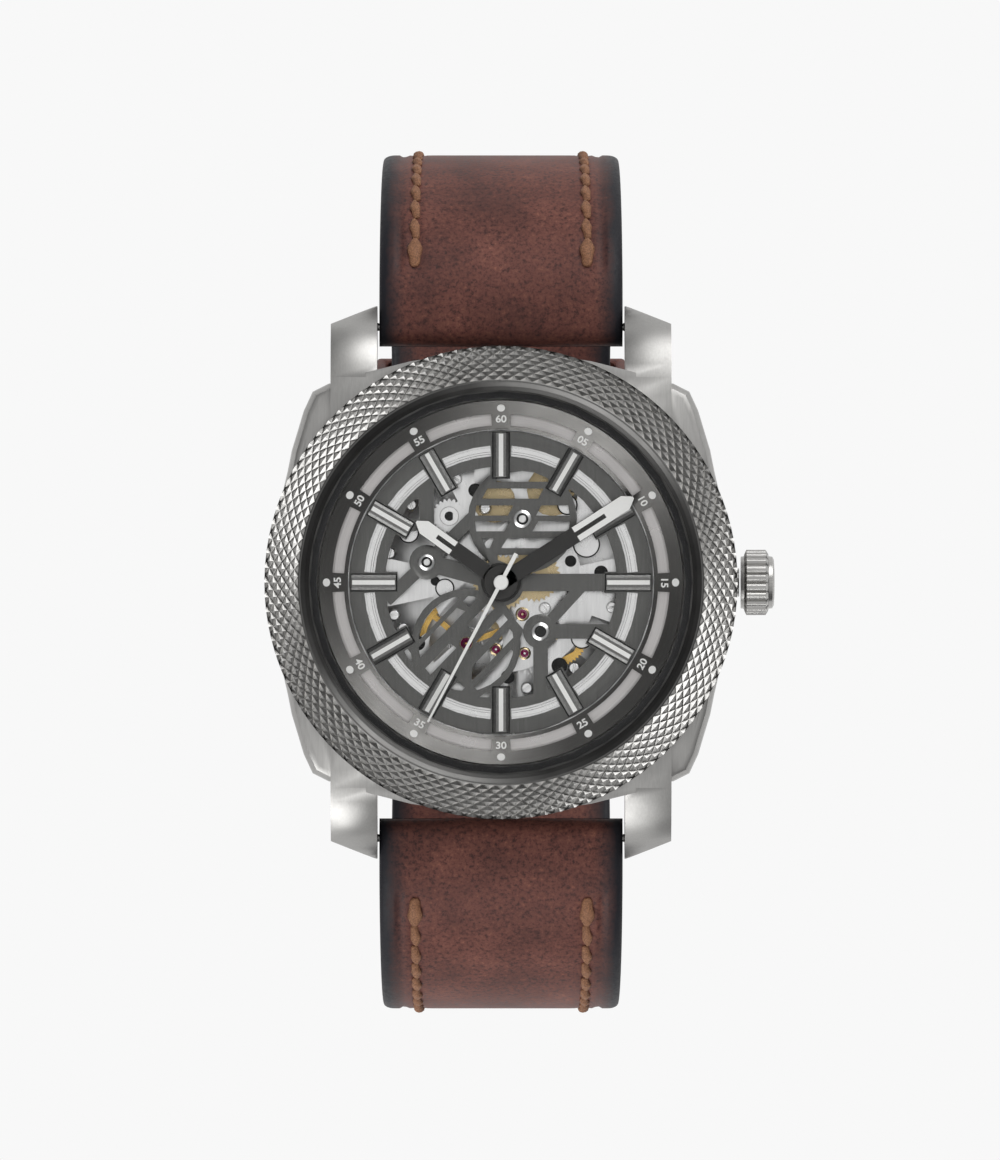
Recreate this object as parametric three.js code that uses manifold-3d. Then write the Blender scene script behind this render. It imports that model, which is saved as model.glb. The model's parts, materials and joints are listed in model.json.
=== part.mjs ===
// Automatic skeleton wristwatch, in millimetres.
// +Z runs out through the crystal, +Y towards twelve o'clock and +X towards the crown.
// The origin is on the axis of the hands, at the outer face of the case back.
import * as THREE from "three";
import { mergeVertices } from "three/addons/utils/BufferGeometryUtils.js";
import Module from "manifold-3d";

const wasm = await Module();
wasm.setup();

// ---------------------------------------------------------------- driving dimensions
const BEZEL_R = 21.0; // outside of the knurled bezel
const BEZEL_TOP = 12.3;
const CASE_TOP = 8.9; // where the bezel sits on the middle case
const CASE_BOTTOM = 1.0;
const DRUM_R = 20.6; // middle case under the bezel
const END_Y = 20.46; // middle case between the lugs, at the centre plane
const LUG_IN = 11.03; // inner and outer faces of the lugs, from the centre plane
const LUG_OUT = 15.15;
const LUG_TIP = 24.62;
const BAR_Y = 22.8; // spring bars
const BAR_Z = 2.3;
const CASE_BORE = 16.2;
const MOVEMENT_R = 13.0;
const STEM_Z = 5.2; // height of the winding stem
const STRAP_BOTTOM = -48.4; // middle of the inner strap layer at the buckle
const REST_Z = -53.4; // the plane that the closed strap rests on
const PLATE = [6.5, 6.9]; // main plate
const BRIDGE = [3.55, 3.95]; // train bridge and barrel bridge
const DIAL = [7.95, 8.3];
const ROUND = 48; // facets of the large turned parts
const SMALL = 12; // facets of the small ones

// Tooth counts. Barrel to centre 6, centre to third 8, third to fourth and to seconds 7.5, fourth to escape 9.
const BARREL_TEETH = 60;
const CENTRE_LEAVES = 10;
const CENTRE_TEETH = 48;
const THIRD_TEETH = 45;
const FOURTH_TEETH = 54;
const LEAVES = 6; // third, fourth, seconds and escape pinions
const CANNON_LEAVES = 10; // the hour hand turns at a twelfth of the minute hand
const MINUTE_TEETH = 30;
const MINUTE_LEAVES = 8;
const HOUR_TEETH = 32;

// Axes of the movement, as [x, y].
const CENTRE = [0, 0];
const BARREL = [1.9, 5.65];
const THIRD = polar(3.4, -56);
const FOURTH = [THIRD[0] + 3.4 * Math.cos(rad(-30)), THIRD[1] + 3.4 * Math.sin(rad(-30))];
const ESCAPE = [2.1, -6.3];
const PALLET = [-0.45, -5.95];
const BALANCE = [-3.1, -5.42];
const MINUTE_WORK = polar(3.0, 12);
const CROWN_WHEEL = [8.0, 2.9];

const STEEL = { color: 0xc8cacb, roughness: 0.3, metalness: 1 };
const GUNMETAL = { color: 0x6e6c69, roughness: 0.38, metalness: 1 };
const DIAL_GREY = { color: 0x666664, roughness: 0.5, metalness: 0.8 };
const GILT = { color: 0xc79a3e, roughness: 0.3, metalness: 1 };
const BRASS = { color: 0xb9a06a, roughness: 0.35, metalness: 1 };
const BLACK = { color: 0x2b2a29, roughness: 0.5, metalness: 0.3 };
const WHITE = { color: 0xf2f2ee, roughness: 0.5, metalness: 0 };
const RUBBER = { color: 0x1c1c1c, roughness: 0.8, metalness: 0 };
const GLASS = { color: 0xeef4f6, roughness: 0.03, metalness: 0, transparent: true, opacity: 0.25 };
const LEATHER = { color: 0x5f3226, roughness: 0.6, metalness: 0 };

const watch = new THREE.Group();
watch.name = "skeleton_wristwatch";

// ---------------------------------------------------------------- helpers
function rad(degrees) {
  return (degrees * Math.PI) / 180;
}

function polar(r, degrees) {
  return [r * Math.cos(rad(degrees)), r * Math.sin(rad(degrees))];
}

function bearing(from, to) {
  return (Math.atan2(to[1] - from[1], to[0] - from[0]) * 180) / Math.PI;
}

function gap(from, to) {
  return Math.hypot(to[0] - from[0], to[1] - from[1]);
}

function add(name, geometry, finish, at = [0, 0, 0]) {
  const mesh = new THREE.Mesh(geometry, new THREE.MeshStandardMaterial(finish));
  mesh.name = name;
  mesh.position.set(...at);
  watch.add(mesh);
  return mesh;
}

// A geometry as a manifold-3d solid, and back.
function solid(geometry) {
  const bare = geometry.clone();
  bare.deleteAttribute("normal");
  bare.deleteAttribute("uv");
  const merged = mergeVertices(bare, 1e-4);
  const vertProperties = new Float32Array(merged.attributes.position.array);
  const triVerts = new Uint32Array(merged.index.array);
  return new wasm.Manifold(new wasm.Mesh({ numProp: 3, vertProperties, triVerts }));
}

function geometryOf(body) {
  const mesh = body.getMesh();
  const geometry = new THREE.BufferGeometry();
  geometry.setAttribute("position", new THREE.BufferAttribute(new Float32Array(mesh.vertProperties), 3));
  geometry.setIndex(new THREE.BufferAttribute(new Uint32Array(mesh.triVerts), 1));
  const flat = geometry.toNonIndexed();
  flat.computeVertexNormals();
  return flat;
}

function join(first, ...rest) {
  return rest.reduce((sum, next) => sum.add(next), first);
}

function cut(first, ...rest) {
  return rest.reduce((left, next) => left.subtract(next), first);
}

// A flat shape between two heights.
function slab(shape, [low, high], curveSegments = 12) {
  const geometry = new THREE.ExtrudeGeometry(shape, { depth: high - low, bevelEnabled: false, curveSegments });
  return geometry.translate(0, 0, low);
}

function polygon(points) {
  return new THREE.Shape(points.map(([x, y]) => new THREE.Vector2(x, y)));
}

function circle(r, facets = SMALL, [x, y] = CENTRE) {
  const turn = (i) => polar(r, (360 * i) / facets);
  return Array.from({ length: facets }, (_, i) => [x + turn(i)[0], y + turn(i)[1]]);
}

function disc(r, heights, facets = SMALL, at = CENTRE) {
  return slab(polygon(circle(r, facets, at)), heights);
}

function ring(outer, inner, heights, facets = SMALL, at = CENTRE) {
  const shape = polygon(circle(outer, facets, at));
  shape.holes.push(polygon(circle(inner, facets, at)));
  return slab(shape, heights);
}

// A straight bar of a given width from a to b, square ended.
function bar(a, b, width, heights) {
  const length = gap(a, b);
  const along = [(b[0] - a[0]) / length, (b[1] - a[1]) / length];
  const side = [(-along[1] * width) / 2, (along[0] * width) / 2];
  const corners = [
    [a[0] - side[0], a[1] - side[1]],
    [b[0] - side[0], b[1] - side[1]],
    [b[0] + side[0], b[1] + side[1]],
    [a[0] + side[0], a[1] + side[1]],
  ];
  return slab(polygon(corners), heights);
}

// A sector of a ring between two angles in degrees.
function sector(inner, outer, from, to, heights, steps = 6) {
  const arc = (r, a, b) => Array.from({ length: steps + 1 }, (_, i) => polar(r, a + ((b - a) * i) / steps));
  return slab(polygon([...arc(outer, from, to), ...arc(inner, to, from)]), heights);
}

// A shape drawn in the Y-Z plane, extruded along X from one value to another.
function across(shape, [from, to]) {
  const geometry = new THREE.ExtrudeGeometry(shape, { depth: to - from, bevelEnabled: false });
  const basis = new THREE.Matrix4().makeBasis(
    new THREE.Vector3(0, 1, 0),
    new THREE.Vector3(0, 0, 1),
    new THREE.Vector3(1, 0, 0),
  );
  return geometry.applyMatrix4(basis).translate(from, 0, 0);
}

// A round rod along X, centred at [y, z].
function rod(r, span, [y, z], facets = SMALL) {
  return across(polygon(circle(r, facets, [y, z])), span);
}

// A profile of [radius, height] pairs turned about Z. The first point repeats when it doesn't end on the axis.
function turned(profile, facets = ROUND) {
  const points = profile.map(([r, z]) => new THREE.Vector2(r, z));
  if (profile[0][0] > 0) points.push(points[0].clone());
  return new THREE.LatheGeometry(points, facets).rotateX(Math.PI / 2).rotateZ(Math.PI / 2);
}

// Gear outline: pointed teeth, or flat-topped ones where they are few. The first tooth is at the angle given.
function teeth(count, module, angle = 0, at = CENTRE) {
  const pitch = 360 / count;
  const r = (count * module) / 2;
  const tip = r + 0.8 * module;
  const root = r - 1.2 * module;
  const coarse = count < 15;
  const points = [];
  for (let i = 0; i < count; i++) {
    const a = angle + i * pitch;
    if (coarse) points.push(polar(root, a - 0.3 * pitch), polar(tip, a - 0.1 * pitch));
    if (coarse) points.push(polar(tip, a + 0.1 * pitch), polar(root, a + 0.3 * pitch));
    if (!coarse) points.push(polar(tip, a), polar(root, a + 0.5 * pitch));
  }
  return points.map(([x, y]) => [x + at[0], y + at[1]]);
}

function wheel(count, module, heights, angle, at, bore = 0) {
  const shape = polygon(teeth(count, module, angle, at));
  if (bore) shape.holes.push(polygon(circle(bore, SMALL, at)));
  return slab(shape, heights);
}

// The angle of a gear's first tooth so that one of its gaps faces the tooth of the gear that it meets.
function meshed(count, at, other) {
  return bearing(at, other) + 180 / count;
}

// Windows that leave a wheel with straight spokes between its hub and its rim.
function windows(count, inner, outer, heights, at, spoke = 22) {
  const one = (i) => {
    const from = (360 * i) / count + spoke / 2;
    return sector(inner, outer, from, from + 360 / count - spoke, heights, 2).translate(at[0], at[1], 0);
  };
  return Array.from({ length: count }, (_, i) => solid(one(i)));
}

// ---------------------------------------------------------------- case
// The lug's upper side runs down in one curve from the middle case to its tip, as [y, z].
const LUG_TOP = new THREE.SplineCurve([
  new THREE.Vector2(14, CASE_TOP - 0.1),
  new THREE.Vector2(18, CASE_TOP - 0.35),
  new THREE.Vector2(21.2, 7.4),
  new THREE.Vector2(23.4, 5.2),
  new THREE.Vector2(24.6, 2.4),
  new THREE.Vector2(24.5, 0.5),
]);
const LUG_UNDERSIDE = [
  [23.6, -0.15],
  [21.8, 0.1],
  [20.2, 1.0],
  [18.4, 1.6],
  [14, 1.6],
];

function lug(sx, sy) {
  const top = LUG_TOP.getPoints(14).map((p) => [p.x, p.y]);
  const profile = polygon([...top, ...LUG_UNDERSIDE].map(([y, z]) => [y * sy, z]));
  const block = solid(across(profile, sx > 0 ? [LUG_IN, LUG_OUT] : [-LUG_OUT, -LUG_IN]));
  const tip = polygon([
    [sx * (LUG_IN - 0.5), sy * (LUG_TIP + 0.3)],
    [sx * (LUG_OUT + 0.5), sy * (LUG_TIP - 1.8)],
    [sx * (LUG_OUT + 0.5), sy * (LUG_TIP + 3)],
    [sx * (LUG_IN - 0.5), sy * (LUG_TIP + 3)],
  ]);
  return block.subtract(solid(slab(tip, [-2, 10])));
}

// The shoulders stand out past the lugs and fall away to the bezel's edge.
const SHOULDER = [
  [19.6, 7.2],
  [18.96, 9.97],
  [18.61, 11.74],
  [18.07, 13.51],
  [17.54, 15.28],
  [16.75, 16.97],
  [15.3, 17.7],
];

function shoulders() {
  const quarter = (sx, sy) => SHOULDER.map(([x, y]) => [x * sx, y * sy]);
  const outline = [
    ...quarter(1, 1),
    ...quarter(-1, 1).reverse(),
    ...quarter(-1, -1),
    ...quarter(1, -1).reverse(),
  ];
  const [low, high] = [2.4, 8.2];
  const edge = { bevelThickness: 1.3, bevelSize: 0.9, bevelOffset: -0.9, bevelSegments: 3 };
  const block = new THREE.ExtrudeGeometry(polygon(outline), { depth: high - low - 2.6, ...edge });
  return solid(block.translate(0, 0, low + 1.3));
}

function midCase() {
  const drum = solid(disc(DRUM_R, [CASE_BOTTOM, CASE_TOP], ROUND));
  const edge = [-12, -8, -4, 0, 4, 8, 12].map((x) => [x, END_Y - 0.0125 * x * x]);
  const outline = [...edge.map(([x, y]) => [x, -y]), ...edge.reverse()];
  const ends = solid(slab(polygon(outline), [1.4, 8.5]));
  const lugs = [lug(1, 1), lug(-1, 1), lug(-1, -1), lug(1, -1)];
  const bore = solid(disc(CASE_BORE, [0, 10], ROUND));
  const backSeat = solid(disc(17.7, [0, 2.1], ROUND));
  const barHoles = [BAR_Y, -BAR_Y].map((y) => solid(rod(0.5, [-12.6, 12.6], [y, BAR_Z], 12)));
  const tubeHole = solid(rod(1.4, [15, 22], [0, STEM_Z], 16));
  return geometryOf(cut(join(drum, shoulders(), ends, ...lugs), bore, backSeat, ...barHoles, tubeHole));
}

function bezel() {
  return turned([
    [16.3, CASE_TOP + 0.05],
    [BEZEL_R, CASE_TOP + 0.05],
    [BEZEL_R, 10.1],
    [18.0, BEZEL_TOP],
    [17.05, 11.75],
    [17.05, 10.2],
    [16.3, 10.2],
  ]);
}

function chapterRing() {
  const body = solid(turned([[13.6, 8.0], [16.1, 8.0], [16.1, 9.9], [13.6, 8.5]], 48));
  const cuts = Array.from({ length: 12 }, (_, i) => {
    const from = 30 * i + 3.2;
    return solid(sector(13.95, 15.0, from, from + 23, [7.5, 10.5], 2));
  });
  return geometryOf(cut(body, ...cuts));
}

function springBar(y) {
  const body = rod(0.75, [-10.7, 10.7], [y, BAR_Z], 14);
  const pivots = rod(0.35, [-12.2, 12.2], [y, BAR_Z], 10);
  return geometryOf(join(solid(body), solid(pivots)));
}

add("mid_case", midCase(), GUNMETAL);
add("bezel", bezel(), GUNMETAL);
add("front_crystal", turned([[0, 10.6], [16.9, 10.6], [16.9, 11.75], [16.6, 12.0], [0, 12.0]], 44), GLASS);
add("crystal_gasket", ring(16.95, 16.4, [10.25, 10.55], 32), RUBBER);
add("case_back", turned([[13.2, 0], [17.2, 0], [17.6, 0.4], [17.6, 1.6], [13.2, 1.6]], 48), STEEL);
add("back_crystal", disc(13.1, [0, 1.2], 40), GLASS);
add("case_back_gasket", ring(17.5, 16.7, [1.65, 2.05], 32), RUBBER);
add("crown_tube", geometryOf(
  solid(rod(1.3, [16.4, 21.2], [0, STEM_Z], 16)).subtract(solid(rod(0.75, [16, 22], [0, STEM_Z], 16))),
), STEEL);
add("spring_bar_12", springBar(BAR_Y), STEEL);
add("spring_bar_6", springBar(-BAR_Y), STEEL);
add("chapter_ring", chapterRing(), DIAL_GREY);

function movementHolder() {
  const body = solid(ring(16.1, 13.2, [2.2, 7.9], 32));
  return geometryOf(body.subtract(solid(rod(1.0, [12, 17], [0, STEM_Z], 12))));
}
add("movement_holder", movementHolder(), STEEL);

// ---------------------------------------------------------------- skeleton dial
const DIAL_CUT = [DIAL[0] - 1, DIAL[1] + 1];
const LEFT_BOSS = [-6.6, 1.8];
const RIGHT_BOSS = [3.5, -4.35];

// Two louvred discs. Each row of louvres lies between two heights and holds one or two slots. A slot is given as
// the ends of its upper side and the ends of its lower side. The rows are turned by the disc's slant.
const UPPER_DISC = {
  at: [1.9, 5.65],
  r: 4.85,
  slant: 0,
  rows: [
    { heights: [4.3, 3.3], slots: [[-2.3, 2.3, -2.3, 2.3]] },
    { heights: [2.7, 1.8], slots: [[-3.1, 1.9, -3.6, 1.4]] },
    { heights: [1.2, 0.3], slots: [[-4.2, -0.8, -4.2, -1.3], [1.7, 4.2, 1.2, 4.2]] },
    { heights: [-0.2, -1.1], slots: [[-4.2, -1.1, -4.2, -1.6], [1.4, 4.2, 0.9, 4.2]] },
    { heights: [-1.7, -2.6], slots: [[-3.6, -2.5, -3.2, -2.9], [-1.3, 3.5, -1.9, 3.0]] },
    { heights: [-3.2, -4.3], slots: [[-2.2, 2.0, -2.2, 2.0]] },
  ],
};
const LOWER_DISC = {
  at: [-3.1, -5.42],
  r: 4.85,
  slant: 46,
  rows: [
    { heights: [4.4, 3.2], slots: [[-2.6, 2.4, -2.6, 2.4]] },
    { heights: [2.8, 2.05], slots: [[-4.1, 1.7, -4.1, 2.0], [2.5, 3.5, 2.5, 3.5]] },
    { heights: [1.08, 0.35], slots: [[-4.2, -0.9, -4.2, -0.9], [1.3, 4.0, 1.1, 4.0]] },
    { heights: [-0.55, -1.2], slots: [[0.7, 4.2, 0.9, 4.2]] },
    { heights: [-1.8, -2.65], slots: [[-4.0, -2.9, -4.0, -2.9], [-1.0, 3.6, -2.1, 3.6]] },
    { heights: [-3.25, -4.4], slots: [[-2.3, 2.4, -2.3, 2.4]] },
  ],
};
const DISC_RIM = 0.6;

function louvres({ at, r, slant, rows }) {
  const slots = rows.flatMap(({ heights: [top, bottom], slots: ends }) =>
    ends.map(([topLeft, topRight, left, right]) => {
      return solid(slab(polygon([[left, bottom], [right, bottom], [topRight, top], [topLeft, top]]), DIAL_CUT));
    }),
  );
  const field = solid(disc(r - DISC_RIM, DIAL_CUT, 24));
  return field.intersect(join(...slots)).rotate([0, 0, slant]).translate([at[0], at[1], 0]);
}

// What joins the discs and bosses to the ring.
const DIAL_ARMS = [
  { from: CENTRE, to: [11, 0], width: 1.55 },
  { from: CENTRE, to: LEFT_BOSS, width: 1.6 },
  { from: LEFT_BOSS, to: [-10.2, -1.6], width: 1.15 },
  { from: [-2.4, 5.9], to: LEFT_BOSS, width: 1.1 },
  { from: RIGHT_BOSS, to: [11, -4.35], width: 1.3 },
  { from: RIGHT_BOSS, to: [3.55, -11], width: 1.3 },
  { from: RIGHT_BOSS, to: [7.5, 0], width: 1.0 },
];
const DIAL_FILLS = [
  [[-0.3, 10.6], [5.3, 9.3], [6.1, 8.4], [5.6, 7.2], [1.9, 5.65]],
  [[-5.95, 8.8], [-5.95, 4.8], [-8.3, 4.5], [-9.4, 5.0], [-8.0, 7.5]],
  [[-8.4, -5.3], [-3.1, -5.4], [-0.2, -9.0], [-0.2, -10.6], [-4.0, -10.0], [-7.5, -7.6], [-8.9, -5.6]],
  [[-1.6, -0.8], [0.2, -1.6], [0.9, -2.9], [2.0, -4.2], [1.7, -5.0], [-1.8, -1.8]],
];
const SMALL_WINDOWS = [
  [[-8.7, 6.0], [-8.0, 5.6], [-7.25, 5.6], [-7.3, 7.4], [-7.6, 7.4], [-8.25, 6.9]],
  [[-8.6, -6.1], [-8.2, -6.9], [-7.9, -7.0], [-8.0, -6.3], [-8.3, -5.9]],
  [[-1.95, -10.2], [-1.05, -10.2], [-1.05, -9.8], [-1.4, -9.8]],
];

function dial() {
  const turns = Array.from({ length: 12 }, (_, i) => 30 * i);
  const ringSlots = turns.map((a) => solid(sector(11.25, 12.2, a + 4.4, a + 25.6, DIAL_CUT, 3)));
  const pads = turns.map((a) => solid(bar(polar(9.2, a), polar(11, a), 1.9, DIAL)));
  const arms = DIAL_ARMS.map(({ from, to, width }) => solid(bar(from, to, width, DIAL)));
  const fills = DIAL_FILLS.map((points) => solid(slab(polygon(points), DIAL)));
  const discs = [
    disc(UPPER_DISC.r, DIAL, 28, UPPER_DISC.at),
    disc(LOWER_DISC.r, DIAL, 28, LOWER_DISC.at),
    disc(1.55, DIAL, 20, LEFT_BOSS),
    disc(1.55, DIAL, 20, RIGHT_BOSS),
    disc(2.1, DIAL, 20),
  ].map(solid);
  const body = join(solid(ring(13.5, 10.3, DIAL, 48)), ...pads, ...arms, ...discs, ...fills);
  const holes = [
    disc(1.25, DIAL_CUT, 16),
    disc(0.75, DIAL_CUT, 14, LEFT_BOSS),
    disc(0.75, DIAL_CUT, 14, RIGHT_BOSS),
    disc(0.6, DIAL_CUT, 12, LOWER_DISC.at),
    disc(0.65, DIAL_CUT, 12, UPPER_DISC.at),
    ring(16, 13.5, DIAL_CUT, 48),
    ...SMALL_WINDOWS.map((points) => slab(polygon(points), DIAL_CUT)),
  ].map(solid);
  return geometryOf(cut(body, ...ringSlots, louvres(UPPER_DISC), louvres(LOWER_DISC), ...holes));
}
add("skeleton_dial", dial(), DIAL_GREY);

// ---------------------------------------------------------------- hands
// Hands point at ten minutes past ten. Angles are measured from +X, anticlockwise.
const HOUR_ANGLE = 90 - 305.7;
const MINUTE_ANGLE = 90 - 57.3;
const SECONDS_ANGLE = 90 - 207.7;

// A baton hand with a pointed tip, on a round hub with a bore.
function hand({ length, tail, width, hub, bore, heights, angle }) {
  const half = width / 2;
  const blade = polygon([
    [-tail, -half],
    [length - 0.85, -half],
    [length, 0],
    [length - 0.85, half],
    [-tail, half],
  ]);
  const body = join(solid(slab(blade, heights)), solid(disc(hub, heights, 28)));
  const hole = solid(disc(bore, [heights[0] - 1, heights[1] + 1], 16));
  return geometryOf(body.subtract(hole).rotate([0, 0, angle]));
}

// The clear running gap between one arbor and the pipe that it turns in is a few hundredths.
const SECONDS_R = 0.15;
const CANNON_R = 0.42;
const HOUR_PIPE_R = 0.75;
add("hour_hand", hand({
  length: 9.3,
  tail: 0,
  width: 1.4,
  hub: 1.75,
  bore: HOUR_PIPE_R,
  heights: [8.85, 9.1],
  angle: HOUR_ANGLE,
}), BLACK);
add("minute_hand", hand({
  length: 14,
  tail: 0,
  width: 1.45,
  hub: 1.55,
  bore: CANNON_R,
  heights: [9.4, 9.65],
  angle: MINUTE_ANGLE,
}), BLACK);

function secondsHand() {
  const heights = [9.95, 10.12];
  const blade = slab(polygon([[-2.9, -0.17], [14, -0.1], [14, 0.1], [-2.9, 0.17]]), heights);
  const body = join(solid(blade), solid(disc(0.62, [9.9, 10.2], 24)));
  return geometryOf(body.subtract(solid(disc(SECONDS_R, [9, 11], 12))).rotate([0, 0, SECONDS_ANGLE]));
}
add("seconds_hand", secondsHand(), WHITE);

// ---------------------------------------------------------------- motion works
const CANNON_MODULE = 3.0 / ((CANNON_LEAVES + MINUTE_TEETH) / 2);
const HOUR_MODULE = 3.0 / ((MINUTE_LEAVES + HOUR_TEETH) / 2);

function pipe(outer, inner, heights, facets = 16) {
  return solid(ring(outer, inner, heights, facets));
}

add("cannon_pinion", geometryOf(join(
  pipe(CANNON_R - 0.03, 0.3, [6.95, 9.65]),
  solid(wheel(CANNON_LEAVES, CANNON_MODULE, [6.95, 7.3], bearing(CENTRE, MINUTE_WORK), CENTRE, 0.35)),
)), STEEL);
const minuteWheelTurn = meshed(MINUTE_TEETH, MINUTE_WORK, CENTRE);
const minutePinionTurn = bearing(MINUTE_WORK, CENTRE);
add("minute_wheel", geometryOf(cut(
  join(
    solid(wheel(MINUTE_TEETH, CANNON_MODULE, [7.0, 7.2], minuteWheelTurn, MINUTE_WORK)),
    solid(wheel(MINUTE_LEAVES, HOUR_MODULE, [7.15, 7.65], minutePinionTurn, MINUTE_WORK)),
  ),
  solid(disc(0.25, [6, 8], 12, MINUTE_WORK)),
)), BRASS);
add("hour_wheel", geometryOf(join(
  pipe(HOUR_PIPE_R - 0.03, 0.47, [7.4, 9.1], 20),
  solid(wheel(HOUR_TEETH, HOUR_MODULE, [7.4, 7.6], meshed(HOUR_TEETH, CENTRE, MINUTE_WORK), CENTRE, 0.6)),
)), BRASS);

// ---------------------------------------------------------------- movement frame
const CUT_ALL = [2, 8];
const FOOT = [BRIDGE[0], PLATE[0] - 0.05]; // the bridges' feet reach up to the main plate

function mainPlate() {
  const body = solid(disc(MOVEMENT_R, PLATE, 36));
  const openings = [
    disc(3.3, CUT_ALL, 24, BALANCE),
    sector(5.6, 11.4, 118, 168, CUT_ALL, 5),
    sector(6.2, 11.4, 192, 214, CUT_ALL, 5),
    sector(7.2, 11.6, 12, 36, CUT_ALL, 5),
    sector(8.0, 11.4, 274, 292, CUT_ALL, 4),
    sector(8.6, 11.4, 304, 340, CUT_ALL, 6),
    disc(2.3, CUT_ALL, 16, [4.6, 8.2]),
    disc(1.9, CUT_ALL, 16, [-0.6, 7.2]),
  ].map(solid);
  const arm = solid(bar([-6.6, -8.6], BALANCE, 1.3, PLATE));
  const boss = solid(disc(0.95, PLATE, 24, BALANCE));
  const pivots = [
    [CENTRE, 0.45],
    [THIRD, 0.2],
    [FOURTH, 0.2],
    [ESCAPE, 0.2],
    [PALLET, 0.2],
    [BALANCE, 0.2],
    [BARREL, 0.55],
  ].map(([at, r]) => solid(disc(r, CUT_ALL, 8, at)));
  return geometryOf(cut(join(cut(body, ...openings), arm, boss), ...pivots));
}
add("main_plate", mainPlate(), STEEL);

function barrelBridge() {
  const outline = [...sectorPoints(12.4, 24, 128, 12), [-3.4, 2.4], [1.6, 1.6], [5.2, 1.9]];
  const body = solid(slab(polygon(outline), BRIDGE));
  const crownRecess = solid(disc(3.0, CUT_ALL, 20, CROWN_WHEEL));
  const feet = [polar(12.0, 62), polar(12.0, 122)].map((at) => solid(disc(0.6, FOOT, 12, at)));
  return geometryOf(cut(join(body, ...feet), crownRecess, solid(disc(0.7, CUT_ALL, 16, BARREL))));
}

function sectorPoints(r, from, to, steps) {
  return Array.from({ length: steps + 1 }, (_, i) => polar(r, from + ((to - from) * i) / steps));
}
add("barrel_bridge", barrelBridge(), STEEL);

function trainBridge() {
  const outline = [...sectorPoints(12.2, 268, 340, 10), [6.4, -0.9], [-1.1, -0.9], [-1.6, -1.2], [0.6, -4.9]];
  const body = solid(slab(polygon(outline), BRIDGE));
  const feet = [polar(11.7, 280), polar(11.6, 336)].map((at) => solid(disc(0.5, FOOT, 12, at)));
  const pivots = [
    [CENTRE, 0.2],
    [THIRD, 0.2],
    [FOURTH, 0.2],
    [ESCAPE, 0.2],
  ].map(([at, r]) => solid(disc(r, CUT_ALL, 8, at)));
  return geometryOf(cut(join(body, ...feet), ...pivots));
}
add("train_bridge", trainBridge(), STEEL);

function balanceCock() {
  const heights = [3.25, 3.6];
  const body = join(
    solid(disc(1.5, heights, 24, BALANCE)),
    solid(bar(BALANCE, polar(11.6, 226), 2.2, heights)),
    solid(disc(1.2, [heights[0], PLATE[0] - 0.05], 20, polar(11.6, 226))),
  );
  return geometryOf(cut(body, solid(disc(0.2, CUT_ALL, 12, BALANCE))));
}
add("balance_cock", balanceCock(), STEEL);

function palletBridge() {
  const heights = [5.05, 5.25];
  const foot = [-0.45, -11.4];
  const body = join(
    solid(disc(0.7, heights, 16, PALLET)),
    solid(bar(PALLET, foot, 1.0, heights)),
    solid(disc(0.6, [heights[0], PLATE[0] - 0.05], 12, foot)),
  );
  return geometryOf(cut(body, solid(disc(0.2, CUT_ALL, 12, PALLET))));
}
add("pallet_bridge", palletBridge(), STEEL);

const ROTOR_AXIS_R = 0.6;
const REVERSER = polar(3.9, 152);
const REDUCTION = polar(7.2, 152);

// The automatic bridge covers the movement's back and carries the rotor's bearing.
function automaticBridge() {
  const heights = [2.75, 3.1];
  const plate = solid(disc(12.8, heights, 36));
  const post = solid(disc(ROTOR_AXIS_R - 0.05, [1.62, heights[1]], 20));
  const studs = [REVERSER, REDUCTION].map((at) => solid(disc(0.25, [2.35, heights[1]], 12, at)));
  return geometryOf(join(plate, post, ...studs));
}
add("automatic_bridge", automaticBridge(), STEEL);

// ---------------------------------------------------------------- barrel and winding
const BARREL_MODULE = gap(CENTRE, BARREL) / ((BARREL_TEETH + CENTRE_LEAVES) / 2);
const BARREL_BODY_R = 4.75;

function barrelDrum() {
  const drum = join(
    solid(disc(BARREL_BODY_R, [4.3, 5.6], 32, BARREL)),
    solid(wheel(BARREL_TEETH, BARREL_MODULE, [5.2, 5.6], meshed(BARREL_TEETH, BARREL, CENTRE), BARREL)),
  );
  const hollow = solid(disc(BARREL_BODY_R - 0.25, [4.0, 5.35], 32, BARREL));
  return geometryOf(cut(drum, hollow, solid(disc(0.52, [4, 7], 16, BARREL))));
}
add("barrel", barrelDrum(), BRASS);
add("barrel_cover", ring(BARREL_BODY_R - 0.35, 0.52, [4.12, 4.28], 32, BARREL), BRASS);
add("barrel_arbor", geometryOf(join(
  solid(disc(0.45, [3.13, 6.95], 16, BARREL)),
  solid(disc(0.95, [4.45, 5.2], 16, BARREL)),
)), STEEL);

// A flat strip wound into a spiral about an axis, standing on edge.
function spiral({ at, from, to, turns, steps, strip, heights }) {
  const count = turns * steps;
  const point = (i, offset) => polar(from + ((to - from) * i) / count + offset, (360 * i) / steps);
  const side = (offset) => Array.from({ length: count + 1 }, (_, i) => point(i, offset));
  const outline = [...side(strip / 2), ...side(-strip / 2).reverse()];
  return slab(polygon(outline), heights).translate(at[0], at[1], 0);
}
add("mainspring", spiral({
  at: BARREL,
  from: 1.2,
  to: BARREL_BODY_R - 0.55,
  turns: 4,
  steps: 13,
  strip: 0.12,
  heights: [4.45, 5.2],
}), STEEL);

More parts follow.
